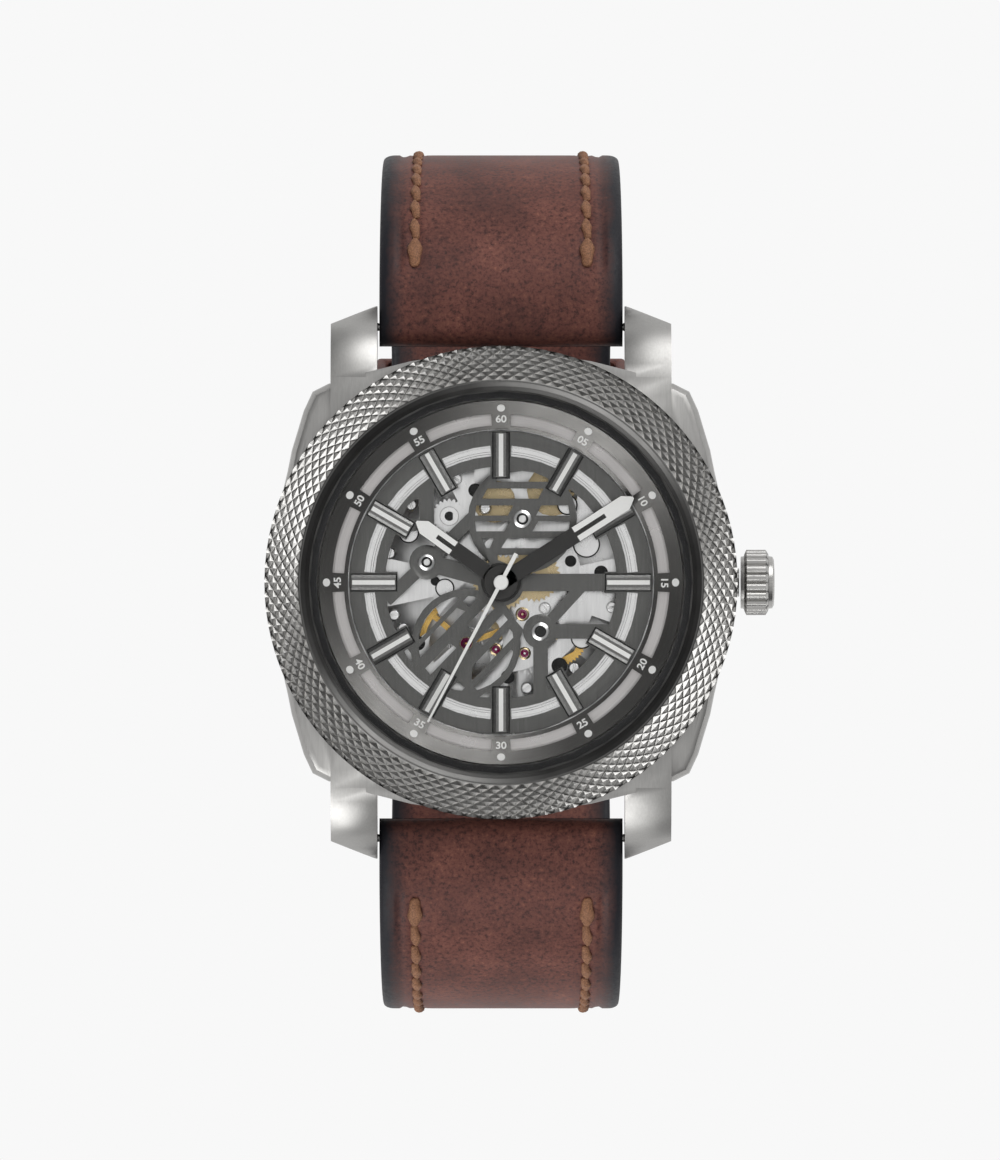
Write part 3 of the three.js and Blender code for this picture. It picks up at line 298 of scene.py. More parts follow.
def thread(name):
    material, principled = shader(name, (0.24, 0.105, 0.05), 0.75)
    place = object_coordinates(material)
    fibres = noise(material, place, 7000, 3.0, 0.7)
    tint = ramp(material, fibres, [(0.3, (0.10, 0.04, 0.02)), (0.7, (0.36, 0.17, 0.085))])
    link(material, tint, principled.inputs["Base Color"])
    bump(material, principled, fibres, 4e-5, 0.6)
    return material


def rubber(name):
    material, principled = shader(name, (0.012, 0.012, 0.013), 0.7)
    bump(material, principled, noise(material, object_coordinates(material), 4000), 5e-6, 0.5)
    return material


GUNMETAL = (0.36, 0.355, 0.345)
STEEL = (0.88, 0.88, 0.875)
DIAL_GREY = (0.155, 0.155, 0.150)
GILT = (0.80, 0.52, 0.16)
BRASS = (0.62, 0.50, 0.30)

CASE_METAL = brushed_metal("case_brushed", scaled(GUNMETAL, 1.1), 0.42, (1, 0.03, 1), 9000, spread=0.10)
BEZEL_METAL = polished_metal("bezel_knurl", scaled(GUNMETAL, 1.05), 0.3)
CROWN_METAL = brushed_metal("crown_brushed", scaled(GUNMETAL, 1.15), 0.28, (0.05, 1, 1), 6000)
PLATE_METAL = brushed_metal("plate_steel", STEEL, 0.30, (1, 0.05, 1), 5000, spread=0.08)
WHEEL_METAL = circular_metal("turned_steel", STEEL, 0.28, spread=0.08)
BRIGHT_METAL = polished_metal("polished_steel", scaled(STEEL, 1.02), 0.2)
DIAL_METAL = brushed_metal("dial_brushed", DIAL_GREY, 0.46, (1, 0.06, 1), 6000, spread=0.14)
RING_METAL = circular_metal("chapter_turned", (0.155, 0.152, 0.146), 0.42, spread=0.12)
INDEX_METAL = brushed_metal("index_sides", (0.21, 0.21, 0.205), 0.4, (1, 1, 0.2), 6000)
GILT_METAL = polished_metal("gilt", GILT, 0.2)
BRASS_METAL = polished_metal("brass", BRASS, 0.26)
HAND_BLACK = lacquer("hand_black", (0.018, 0.017, 0.016), 0.42)
WHITE_PAINT = lacquer("white_lume", (0.86, 0.86, 0.84), 0.5, speck=0.02)
# Flat black that stands in for shade: painted shade in bores and holes, and painted shadow outlines round pads
# and batons.
SHADE_BLACK = lacquer("painted_shade_black", (0.01, 0.01, 0.01), 0.6)
RUBY = ruby("ruby")
CRYSTAL = crystal("crystal")
LEATHER = leather("strap_leather")
LINING = leather("keeper_leather", edges=False)
THREAD = thread("stitch_thread")
RUBBER = rubber("gasket_rubber")


# ---------------------------------------------------------------- mesh helpers
def piece(name, points, faces, material, body="case", smooth=False, slot=None, attributes=None):
    """A mesh object from points in millimetres, riding on a body."""
    mesh = bpy.data.meshes.new(name)
    mesh.from_pydata([Vector(p) * MM for p in points], [], faces)
    mesh.validate()
    mesh.polygons.foreach_set("use_smooth", [smooth] * len(mesh.polygons))
    for key, values in (attributes or {}).items():
        layer = mesh.attributes.new(key, "FLOAT", "POINT")
        layer.data.foreach_set("value", values)
    mesh.materials.append(material)
    made = bpy.data.objects.new(name, mesh)
    scene.collection.objects.link(made)
    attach(made, body)
    return made


def soften(made, width, segments=2, angle=30):
    """A small bevel along sharp edges, so they catch the light."""
    modifier = made.modifiers.new("edge", "BEVEL")
    modifier.width = width * MM
    modifier.segments = segments
    modifier.limit_method = "ANGLE"
    modifier.angle_limit = math.radians(angle)
    return made


def polar(r, degrees):
    return r * math.cos(math.radians(degrees)), r * math.sin(math.radians(degrees))


def prism(outline, low, high):
    """Points and faces of a flat outline between two heights."""
    n = len(outline)
    points = [(x, y, low) for x, y in outline] + [(x, y, high) for x, y in outline]
    faces = [tuple(reversed(range(n))), tuple(range(n, 2 * n))]
    faces += [(i, (i + 1) % n, n + (i + 1) % n, n + i) for i in range(n)]
    return points, faces


def merged(*parts):
    """Several (points, faces) sets as one."""
    points, faces = [], []
    for some, more in parts:
        faces += [tuple(i + len(points) for i in face) for face in more]
        points += list(some)
    return points, faces


def moved(part, matrix):
    points, faces = part
    return [tuple(matrix @ Vector(p)) for p in points], faces


def turned(profile, steps=192, start=0.0, end=360.0):
    """A closed (radius, height) profile turned about Z, all the way or through part of a turn."""
    whole = abs(end - start) >= 360
    rings = steps if whole else steps + 1
    n = len(profile)
    points = []
    for i in range(rings):
        x, y = polar(1, start + (end - start) * i / steps)
        points += [(r * x, r * y, z) for r, z in profile]
    faces = []
    for i in range(steps):
        here, there = i * n, ((i + 1) % rings) * n
        faces += [(here + k, there + k, there + (k + 1) % n, here + (k + 1) % n) for k in range(n)]
    if not whole:
        faces += [tuple(range(n)), tuple(reversed(range(steps * n, steps * n + n)))]
    return points, faces


def disc(r, low, high, steps=32, chamfer=0.0):
    """A round plate about Z, with an optional chamfer at its upper edge."""
    profile = [(r, low), (r, high - chamfer), (r - chamfer, high)] if chamfer else [(r, low), (r, high)]
    points = [(*polar(radius, 360 * i / steps), z) for radius, z in profile for i in range(steps)]
    faces = [tuple(reversed(range(steps)))]
    for k in range(len(profile) - 1):
        here, above = k * steps, (k + 1) * steps
        faces += [(here + i, here + (i + 1) % steps, above + (i + 1) % steps, above + i) for i in range(steps)]
    faces.append(tuple(range((len(profile) - 1) * steps, len(profile) * steps)))
    return points, faces


def shading_group(name, angle):
    """Geometry nodes that shade a mesh smooth but for edges sharper than an angle, without stored normals."""
    tree = bpy.data.node_groups.new(name, "GeometryNodeTree")
    tree.interface.new_socket("Geometry", in_out="INPUT", socket_type="NodeSocketGeometry")
    tree.interface.new_socket("Geometry", in_out="OUTPUT", socket_type="NodeSocketGeometry")
    entry, leave = tree.nodes.new("NodeGroupInput"), tree.nodes.new("NodeGroupOutput")
    plain = tree.nodes.new("GeometryNodeRemoveAttribute")
    plain.inputs["Name"].default_value = "custom_normal"
    smooth = tree.nodes.new("GeometryNodeSetShadeSmooth")
    keep = tree.nodes.new("GeometryNodeSetShadeSmooth")
    keep.domain = "EDGE"
    keep.inputs["Shade Smooth"].default_value = False
    bend = tree.nodes.new("GeometryNodeInputMeshEdgeAngle")
    sharp = tree.nodes.new("FunctionNodeCompare")
    sharp.data_type = "FLOAT"
    sharp.operation = "GREATER_THAN"
    sharp.inputs[1].default_value = math.radians(angle)
    tree.links.new(bend.outputs["Unsigned Angle"], sharp.inputs[0])
    tree.links.new(entry.outputs[0], plain.inputs["Geometry"])
    tree.links.new(plain.outputs["Geometry"], smooth.inputs["Geometry"])
    tree.links.new(smooth.outputs["Geometry"], keep.inputs["Geometry"])
    tree.links.new(sharp.outputs["Result"], keep.inputs["Selection"])
    tree.links.new(keep.outputs["Geometry"], leave.inputs[0])
    return tree


SMOOTH = shading_group("smooth_by_angle", 34)
WELD_REACH = 1e-6  # metres


def smoothed(made):
    made.modifiers.new("shading", "NODES").node_group = SMOOTH
    return made


def dress(material, *nodes, edge=None):
    """Gives CAD nodes a material, smooth curved faces, and a small bevel where edge is given."""
    for name in nodes:
        shown = frame["nodes"][name]
        for slot in shown.material_slots:
            slot.material = material
        shown.modifiers.new("weld", "WELD").merge_threshold = WELD_REACH
        if edge:
            soften(shown, edge)
        smoothed(shown)


# ---------------------------------------------------------------- carried-over CAD nodes
dress(CASE_METAL, "mid_case", edge=0.22)
dress(BRIGHT_METAL, "case_back", "crown_tube", "spring_bar_12", "spring_bar_6", edge=0.05)
dress(CRYSTAL, "front_crystal", "back_crystal")
dress(RUBBER, "crystal_gasket", "case_back_gasket")
dress(WHEEL_METAL, "movement_holder", edge=0.05)
dress(DIAL_METAL, "skeleton_dial", edge=0.05)
dress(PLATE_METAL, "main_plate", "barrel_bridge", "train_bridge", "balance_cock", "pallet_bridge",
      "automatic_bridge", edge=0.06)
dress(BRIGHT_METAL, "barrel_arbor", "mainspring", "seconds_pinion", "cannon_pinion", "hairspring",
      "winding_stem", "winding_pinion", "clutch_wheel", "setting_lever", "pallet_fork", "rotor_bearing")
dress(WHEEL_METAL, "ratchet_wheel", "crown_wheel", "click", "escape_wheel", "rotor")
dress(BRASS_METAL, "minute_wheel", "hour_wheel", "barrel", "barrel_cover", "centre_wheel", "third_wheel")
dress(GILT_METAL, "fourth_wheel", "balance_wheel", "reverser_wheel", "reduction_wheel")
dress(BRIGHT_METAL, "buckle_frame", "buckle_bar", "buckle_tongue", edge=0.25)


# ---------------------------------------------------------------- knurled bezel
KNURL_COUNT = 100  # diamonds round the bezel
KNURL_ROWS = 4  # whole diamonds from its inner to its outer edge
KNURL_DEPTH = 0.33
KNURL_IN = (18.0, BEZEL_TOP)
KNURL_OUT = (BEZEL_R, BEZEL_TOP - 2.2)


def knurl_point(u, v, raised):
    """u runs round the bezel and v across it, both in diamonds. Raised points are the diamonds' tips."""
    t = v / KNURL_ROWS
    r = KNURL_IN[0] + (KNURL_OUT[0] - KNURL_IN[0]) * t
    z = KNURL_IN[1] + (KNURL_OUT[1] - KNURL_IN[1]) * t + 0.25 * t * (t - 1)
    if not raised:
        z -= KNURL_DEPTH
    x, y = polar(r, 360 * u / KNURL_COUNT)
    return x, y, min(z, BEZEL_TOP)


def knurled_band():
    """Four-sided pyramids on a staggered grid. Half diamonds close the grid along both edges."""
    points, faces, index = [], [], {}
    half_count = 2 * KNURL_COUNT

    def corner(i, j, raised):
        key = (i % half_count, j, raised)
        if key not in index:
            index[key] = len(points)
            points.append(knurl_point(i / 2, j / 2, raised))
        return index[key]

    for j in range(0, 2 * KNURL_ROWS + 1):
        for i in range(half_count):
            if (i + j) % 2:
                continue
            tip = corner(i, j, True)
            left, right = corner(i - 1, j, False), corner(i + 1, j, False)
            inner = corner(i, j - 1, False) if j > 0 else None
            outer = corner(i, j + 1, False) if j < 2 * KNURL_ROWS else None
            if inner is not None:
                faces += [(tip, inner, right), (tip, left, inner)]
            if outer is not None:
                faces += [(tip, right, outer), (tip, outer, left)]
    return points, faces


def bezel():
    points, faces = knurled_band()
    piece("bezel_knurl", points, faces, BEZEL_METAL, slot="gunmetal")
    low = BEZEL_LOW.z
    core_top = BEZEL_TOP - KNURL_DEPTH - 0.02
    profile = [
        (16.3, low),
        (BEZEL_R - 0.12, low),
        (BEZEL_R - 0.02, low + 0.12),
        (BEZEL_R - 0.02, BEZEL_TOP - 2.2 - 0.1),
        (BEZEL_R - 0.1, BEZEL_TOP - 2.2 - KNURL_DEPTH + 0.02),
        (18.0, core_top),
        (18.0, BEZEL_TOP - 0.04),
        (17.92, BEZEL_TOP),
        (17.8, BEZEL_TOP - 0.02),
        (17.4, BEZEL_TOP - 0.30),
        (17.05, BEZEL_TOP - 0.62),
        (17.05, low + 1.25),
        (16.3, low + 1.25),
    ]
    points, faces = turned(profile, 256)
    # The inner slope takes gunmetal darkened to a third: painted shade standing in for the dark reflection on
    # this slope.
    body = piece("bezel_ring", points, faces, SHADED_SLOPE_METAL, slot="gunmetal")
    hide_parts("bezel")


# The bezel's own gunmetal darkened to a third: painted shade standing in for the dark reflection on the slope
# inside the knurl.
SHADED_SLOPE_METAL = circular_metal("bezel_slope_painted_dark", scaled(GUNMETAL, 0.34), 0.36, grain=9000, spread=0.12)
bezel()


# ---------------------------------------------------------------- chapter ring, minute track and numerals
TRACK_IN = 13.6
TRACK_OUT = 16.15
TRACK_LOW = 8.0
TRACK_RISE = (8.5, 9.8)  # height of its upper face at the inner and outer edge
WINDOW = (13.95, 15.0)
BLOCK_HALF = 3.3  # degrees either side of each numeral


def track_height(r):
    """The chapter ring's upper face rises outwards."""
    return TRACK_RISE[0] + (r - TRACK_IN) * (TRACK_RISE[1] - TRACK_RISE[0]) / (TRACK_OUT - TRACK_IN)


def chapter_ring():
    def slope(r0, r1):
        return [(r0, TRACK_LOW), (r1, TRACK_LOW), (r1, track_height(r1)), (r0, track_height(r0))]

    parts = [turned(slope(TRACK_IN, WINDOW[0]), 192), turned(slope(WINDOW[1], TRACK_OUT), 192)]
    for i in range(12):
        parts.append(turned(slope(*WINDOW), 8, 30 * i - BLOCK_HALF, 30 * i + BLOCK_HALF))
    ring = smoothed(piece("chapter_ring_visible", *merged(*parts), RING_METAL, slot="dial_grey"))
    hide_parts("chapter_ring")


chapter_ring()


def track_pose(r, angle, spin=0.0):
    """A frame on the chapter ring's slope at a radius and angle, its x axis clockwise and its y outwards."""
    lean = math.atan2(TRACK_RISE[1] - TRACK_RISE[0], TRACK_OUT - TRACK_IN)
    x, y = polar(r, angle)
    place = Matrix.Translation(Vector((x, y, track_height(r) + 0.012)) * MM)
    return (place @ Matrix.Rotation(math.radians(angle - 90), 4, "Z") @ Matrix.Rotation(lean, 4, "X")
            @ Matrix.Rotation(math.radians(spin), 4, "Z"))


def numerals():
    for hour in range(1, 13):
        angle = 90 - 30 * hour
        curve = bpy.data.curves.new(f"numeral_{hour:02d}", "FONT")
        curve.body = f"{5 * hour:02d}"
        curve.size = 0.98 * MM
        curve.extrude = 0.008 * MM
        curve.offset = 0.022 * MM
        curve.align_x = "CENTER"
        curve.align_y = "CENTER"
        curve.materials.append(WHITE_PAINT)
        made = bpy.data.objects.new(curve.name, curve)
        scene.collection.objects.link(made)
        made.matrix_world = track_pose(14.5, angle, 180 if 4 <= hour <= 8 else 0)
        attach(made, "case")


def minute_dots():
    parts = []
    for i in range(12):
        matrix = track_pose(15.5, 30 * i)
        matrix = Matrix.Diagonal((1 / MM, 1 / MM, 1 / MM, 1)) @ matrix @ Matrix.Diagonal((MM, MM, MM, 1))
        parts.append(moved(disc(0.36, -0.02, 0.03, steps=24, chamfer=0.015), matrix))
    piece("minute_dots", *merged(*parts), WHITE_PAINT, slot="hand_white")


numerals()
minute_dots()


def bright_flange():
    """The polished ring that shows through the windows of the chapter ring and the slots of the dial."""
    steps = [(11.0, 7.3), (11.0, 7.5), (11.42, 7.5), (11.46, 7.62), (11.62, 7.62), (11.66, 7.5), (12.0, 7.5),
             (12.04, 7.66), (12.3, 7.66), (12.34, 7.5), (13.1, 7.5), (13.1, 7.3)]
    inner = turned(steps, 192)
    floor_steps = [(13.75, 7.93), (15.4, 7.93), (15.4, 7.97), (14.8, 7.985), (13.9, 7.97), (13.75, 7.95)]
    outer = turned(floor_steps, 192)
    piece("bright_flange", *inner, BRIGHT_METAL, slot="steel")
    piece("window_floor", *outer, WINDOW_METAL, slot="steel")


WINDOW_METAL = circular_metal("window_floor_metal", (0.62, 0.60, 0.59), 0.3, spread=0.10)
bright_flange()


# ---------------------------------------------------------------- hour batons
def index(angle):
    """A flat-topped baton with chamfered edges, and the white line along it."""
    inner, outer, half = 9.35, 13.3, 0.69
    low, high = DIAL_TOP - 0.1, DIAL_TOP + 0.5
    shoulder = high - 0.14
    section = [(-half, low), (half, low), (half, shoulder), (0.44, high), (-0.44, high), (-half, shoulder)]
    n = len(section)
    points = [(inner, y, z) for y, z in section] + [(outer, y, z) for y, z in section]
    faces = [tuple(reversed(range(n))), tuple(range(n, 2 * n))]
    faces += [(k, (k + 1) % n, n + (k + 1) % n, n + k) for k in range(n)]
    turn = Matrix.Rotation(math.radians(angle), 4, "Z")
    crest = prism([(inner + 0.08, -0.2), (outer - 0.08, -0.2), (outer - 0.08, 0.2), (inner + 0.08, 0.2)],
                  high - 0.02, high + 0.03)
    return moved((points, faces), turn), moved(crest, turn)


def indices():
    for hour in range(12):
        sides, crest = index(90 - 30 * hour)
        name = f"hour_baton_{hour or 12:02d}"
        soften(piece(name, *sides, INDEX_METAL, slot="steel"), 0.03)
        piece(name + "_line", *crest, WHITE_PAINT, slot="hand_white")
        turn = Matrix.Rotation(math.radians(90 - 30 * hour), 4, "Z")
        # A black foot a little wider than the baton, under it: a painted shadow outline round each baton.
        base = [(9.22, -0.8), (13.36, -0.8), (13.36, 0.8), (9.22, 0.8)]
        shadow_foot = moved(prism(base, DIAL_TOP - 0.1, DIAL_TOP + 0.07), turn)
        piece(name + "_painted_shadow", *shadow_foot, SHADE_BLACK, slot="hand_black")


indices()


# ---------------------------------------------------------------- hands
HOUR_ANGLE = 90 - 305.7
MINUTE_ANGLE = 90 - 57.3
SECONDS_ANGLE = 90 - 207.7


def hand_outline(start, length, half):
    """A baton with a short blunt point, along X."""
    neck = length - 0.85
    return [(start, -half), (neck, -half), (length, -0.1), (length, 0.1), (neck, half), (start, half)]


def baton_hand(name, node_name, body, angle, length, half, hub, low, lume_from, slot_to):
    """Black blade and hub, with a white tip that a dark slot divides near the hub end."""
    turn = Matrix.Rotation(math.radians(angle), 4, "Z")
    high = low + 0.25
    blade = moved(prism(hand_outline(0.0, length, half), low, high), turn)
    hub_disc = disc(hub, low, high, steps=64, chamfer=0.06)
    base = piece(name, *merged(blade, hub_disc), HAND_BLACK, body, slot="hand_black")
    soften(base, 0.05)
    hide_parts(node_name)
    edge = 0.03
    split = 0.2
    tip = [(x, y) for x, y in hand_outline(lume_from, length - 0.04, half - edge) if x > slot_to]
    slot_sides = [(lume_from, split), (slot_to, split), (slot_to, -split), (lume_from, -split)]
    outline = [(lume_from, -(half - edge)), *tip, (lume_from, half - edge), *slot_sides]
    lume = moved(prism(outline, high - 0.02, high + 0.03), turn)
    piece(name + "_lume", *lume, WHITE_PAINT, body, slot="hand_white")


def hands():
    baton_hand("hour_hand_blade", "hour_hand", "hours", HOUR_ANGLE, 9.3, 0.70, 1.75, HOUR_HAND_Z, 5.2, 7.0)
    baton_hand("minute_hand_blade", "minute_hand", "minutes", MINUTE_ANGLE, 14.0, 0.74, 1.55, MINUTE_HAND_Z,
               7.9, 11.0)
    turn = Matrix.Rotation(math.radians(SECONDS_ANGLE), 4, "Z")
    low = SECONDS_HAND_Z
    blade = [(-2.9, -0.19), (14.0, -0.1), (14.0, 0.1), (-2.9, 0.19)]
    hub = disc(0.66, low, low + 0.3, steps=48, chamfer=0.1)
    parts = merged(moved(prism(blade, low + 0.03, low + 0.2), turn), hub)
    needle = piece("seconds_hand_needle", *parts, WHITE_PAINT, "seconds", slot="hand_white")
    soften(needle, 0.03)
    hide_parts("seconds_hand")


hands()


# ---------------------------------------------------------------- jewels and screws
def jewel(name, at, top, r):
    """A ruby with an oil cup, in a bright setting."""
    low = top - 0.2
    setting = [(r + 0.02, low), (r + 0.2, low), (r + 0.2, top + 0.02), (r + 0.12, top + 0.06),
               (r + 0.02, top + 0.02)]
    stone = [(0.08, low), (r, low), (r, top + 0.02), (0.6 * r, top + 0.05), (0.3 * r, top - 0.06),
             (0.08, top - 0.08)]
    shift = Matrix.Translation(Vector((at[0], at[1], 0)))
    piece(name + "_setting", *moved(turned(setting, 32), shift), BRASS_METAL, slot="brass")
    piece(name, *moved(turned(stone, 32), shift), RUBY, slot="gilt")


def screw(name, at, top, r, angle, rim):
    """A flat polished screw head cut by a slot, in a bright ring."""
    start = math.degrees(math.asin(0.16))
    arc = [polar(r, start + (180 - 2 * start) * i / 14) for i in range(15)]
    halves = [prism(arc, 0.0, 0.16), prism([(x, -y) for x, y in reversed(arc)], 0.0, 0.16)]
    place = Matrix.Translation(Vector((at[0], at[1], top))) @ Matrix.Rotation(math.radians(angle), 4, "Z")
    head = piece(name, *moved(merged(disc(r, -0.2, 0.0, steps=28), *halves), place), BRIGHT_METAL, slot="steel")
    soften(head, 0.03)
    inner, outer = r + 0.06, r + rim
    ring = turned([(inner, -0.15), (outer, -0.15), (outer, 0.05), (r + rim / 2, 0.12), (inner, 0.05)], 32)
    piece(name + "_ring", *moved(ring, place), BRIGHT_METAL, slot="steel")


def axis_of(body):
    joint = next(j for j in frame["joints"] if j["child"] == body)
    return joint["pos_m"][0] / MM, joint["pos_m"][1] / MM


JEWELS = {"third": 0.42, "escape": 0.36, "pallets": 0.36, "balance": 0.5, "fourth": 0.36}
for child, size in JEWELS.items():
    jewel(f"jewel_{child}_upper", axis_of(child), PLATE_TOP + (0.02 if child != "balance" else 0.06), r=size)


def dial_bush(label, at, r, pin):
    """A bright bush in the dial round a bore floored with a black disc of painted shade, with a pin in the
    bore.
    """
    shift = Matrix.Translation(Vector((at[0], at[1], DIAL_TOP)))
    ring = turned([(0.66 * r, -0.3), (r, -0.3), (r, 0.05), (0.9 * r, 0.1), (0.66 * r, 0.02)], 40)
    smoothed(piece(f"dial_bush_{label}", *moved(ring, shift), PLATE_METAL, slot="steel"))
    # The black disc down the bore is painted shade.
    bore = disc(0.68 * r, -0.32, -0.12, steps=32)
    piece(f"dial_bore_{label}", *moved(bore, shift), SHADE_BLACK, slot="hand_black")
    if pin:
        post = disc(pin, -0.2, 0.0, steps=24, chamfer=0.04)
        smoothed(piece(f"dial_pin_{label}", *moved(post, shift), PLATE_METAL, slot="steel"))


# Each bush's place, radius and pin radius.
DIAL_BUSHES = {
    "barrel": ((1.9, 5.65), 0.8, 0.34),
    "left": ((-6.6, 1.8), 0.74, 0.3),
    "right": ((3.5, -4.35), 0.8, 0),
}
for label, (at, r, pin) in DIAL_BUSHES.items():
    dial_bush(label, at, r, pin)

PLATE_SCREWS = [(-9.5, -2.9), (-8.7, -4.1), (-9.9, 2.6), (-8.0, 6.9), (-4.0, 9.2), (-1.4, 6.6), (2.3, -9.4),
                (6.5, -7.6), (3.9, -2.3), (8.6, 4.6), (9.9, -2.2)]
for i, at in enumerate(PLATE_SCREWS):
    screw(f"plate_screw_{i + 1:02d}", at, PLATE_TOP - 0.03, 0.42, 37 * i, rim=0.12)


def toothed(teeth, root, tip):
    """The outline of a wheel with pointed teeth."""
    half = 180 / teeth
    corners = ((root, 0), (tip, 0.7), (tip, 1.3))
    return [polar(r, 2 * half * k + turn * half) for k in range(teeth) for r, turn in corners]


def setting_gear():
    """The small wheel near eleven o'clock, with its D-shaped bore as a black prism of painted shade: relief on
    the plate, which doesn't turn.
    """
    at, top = (-4.6, 5.9), PLATE_TOP
    shift = Matrix.Translation(Vector((at[0], at[1], 0)))
    gear = prism(toothed(22, 1.32, 1.55), top - 0.05, top + 0.14)
    piece("date_gear", *moved(gear, shift), PLATE_METAL, slot="steel")
    hub = disc(0.85, top, top + 0.2, steps=36, chamfer=0.04)
    smoothed(piece("date_gear_hub", *moved(hub, shift), BRIGHT_METAL, slot="steel"))
    # The D-shaped bore is a thin black prism on the hub: painted shade of a hole.
    bore = [polar(0.42, 40 + 280 * i / 16) for i in range(17)]
    piece("date_gear_bore", *moved(prism(bore, top + 0.18, top + 0.215), shift), SHADE_BLACK, slot="hand_black")


# Round pads on the main plate: their place, radius and whether they are sunk and dark. A sunk pad's face is
# black painted shade, and each pad has a black ring round it as a painted shadow outline.
PADS = [(-5.0, -0.5, 0.75, False), (-5.85, 0.12, 0.3, True), (5.2, -7.4, 0.6, True), (7.6, 3.4, 1.1, False),
        (8.9, 0.9, 0.5, True), (5.9, 6.9, 0.8, False), (7.2, -4.9, 0.9, False), (-8.2, 4.4, 0.8, False),
        (0.6, -8.4, 0.5, True), (-2.3, 8.2, 0.5, True), (6.2, 1.9, 0.4, True), (-7.4, -5.4, 0.55, True)]


def plate_pads():
    for i, (x, y, r, sunk) in enumerate(PADS):
        shift = Matrix.Translation(Vector((x, y, PLATE_TOP)))
        # Each pad's black ring is a painted shadow outline, and a sunk pad's black face is painted shade.
        rim = turned([(r, -0.05), (r + 0.11, -0.05), (r + 0.11, 0.05), (r, 0.05)], 36)
        piece(f"plate_pad_{i + 1:02d}_edge", *moved(rim, shift), SHADE_BLACK, slot="hand_black")
        face = disc(r, -0.05, 0.02 if sunk else 0.1, steps=36, chamfer=0.02)
        smoothed(piece(f"plate_pad_{i + 1:02d}", *moved(face, shift), SHADE_BLACK if sunk else WHEEL_METAL,
                       slot="hand_black" if sunk else "steel"))


setting_gear()
plate_pads()


# ---------------------------------------------------------------- crown
def crown():
    """A fluted crown with rounded crests and a slightly domed cap, turned about the stem."""
    low, high = extent("crown")
    flutes, steps = 20, 200
    r_out = (high.z - low.z) / 2
    x0, x1 = low.x, high.x
    collar = [(x0, 2.3, 0), (x0 + 0.28, 2.35, 0), (x0 + 0.32, 2.55, 0.5)]
    grip = [(x0 + 0.5, r_out, 1), (x0 + 2.2, r_out, 1), (x0 + 2.42, 2.6, 0.5)]
    cap = [(x0 + 2.48, 2.35, 0), (x1 - 0.2, 2.3, 0), (x1 - 0.06, 2.05, 0), (x1, 1.2, 0)]
    sections = collar + grip + cap
    points = []
    for x, r, cutting in sections:
        for i in range(steps):
            wave = abs(math.sin(flutes * math.pi * i / steps))
            radius = r - cutting * 0.30 * (1 - wave) ** 1.4
            y, z = polar(radius, 360 * i / steps)
            points.append((x, y, z + STEM_Z))
    n = len(sections)
    faces = []
    for k in range(n - 1):
        for i in range(steps):
            j = (i + 1) % steps
            faces.append((k * steps + i, k * steps + j, (k + 1) * steps + j, (k + 1) * steps + i))
    faces += [tuple(reversed(range(steps))), tuple(range((n - 1) * steps, n * steps))]
    made = piece("crown_visible", points, faces, CROWN_METAL, "crown", slot="gunmetal")
    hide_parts("crown")


crown()


# ---------------------------------------------------------------- strap
STRAP_WIDE = 21.7
STRAP_NARROW = 20.0
STRAP_REACH = extent("strap_buckle_side")[1].y - 1.1
STRAP_BOTTOM = BUCKLE_BAR_Z
TAIL_GAP = 2.55
LOOP_END = 4.2
LUG_THICK = 3.5  # the padded end at the spring bar
PADDED = 13.0  # the padding thins out over this length


def bezier(p0, p1, p2, p3, steps):
    out = []
    for i in range(steps + 1):
        t = i / steps
        a, b, c, d = (1 - t) ** 3, 3 * t * (1 - t) ** 2, 3 * t * t * (1 - t), t ** 3
        out.append(Vector([a * q0 + b * q1 + c * q2 + d * q3 for q0, q1, q2, q3 in zip(p0, p1, p2, p3)]))
    return out


def strap_line(side, end, steps=44):
    """The strap's middle line in the Y-Z plane, from the spring bar down to the bottom of the loop."""
    widest = (side * STRAP_REACH, -16)
    upper = bezier((side * BAR_Y, BAR_Z), (side * 29.4, 3.4), (side * STRAP_REACH, -3), widest, steps)
    lower = bezier(widest, (side * STRAP_REACH, -36), (side * 22, STRAP_BOTTOM),
                   (side * end, STRAP_BOTTOM), steps)
    return upper + lower[1:]


def directions(line):
    out = []
    for i in range(len(line)):
        along = line[min(i + 1, len(line) - 1)] - line[max(i - 1, 0)]
        out.append(along.normalized())
    return out


def distances(line):
    out = [0.0]
    for a, b in zip(line, line[1:]):
        out.append(out[-1] + (b - a).length)
    return out


def width_at(z):
    down = min(max((BAR_Z - z) / (BAR_Z - STRAP_BOTTOM), 0), 1)
    return STRAP_WIDE + (STRAP_NARROW - STRAP_WIDE) * down


def thickness_at(s, thin):
    """The strap's thickness at a distance from the spring bar."""
    return thin + (LUG_THICK - 0.06 - thin) * max(0.0, 1 - s / PADDED)


GROOVE = 1.85  # pressed line, from the strap's edge
STITCH = 3.15  # stitching, from the strap's edge
STITCH_START = 4.9  # from the spring bar along the strap
COLUMNS = 61


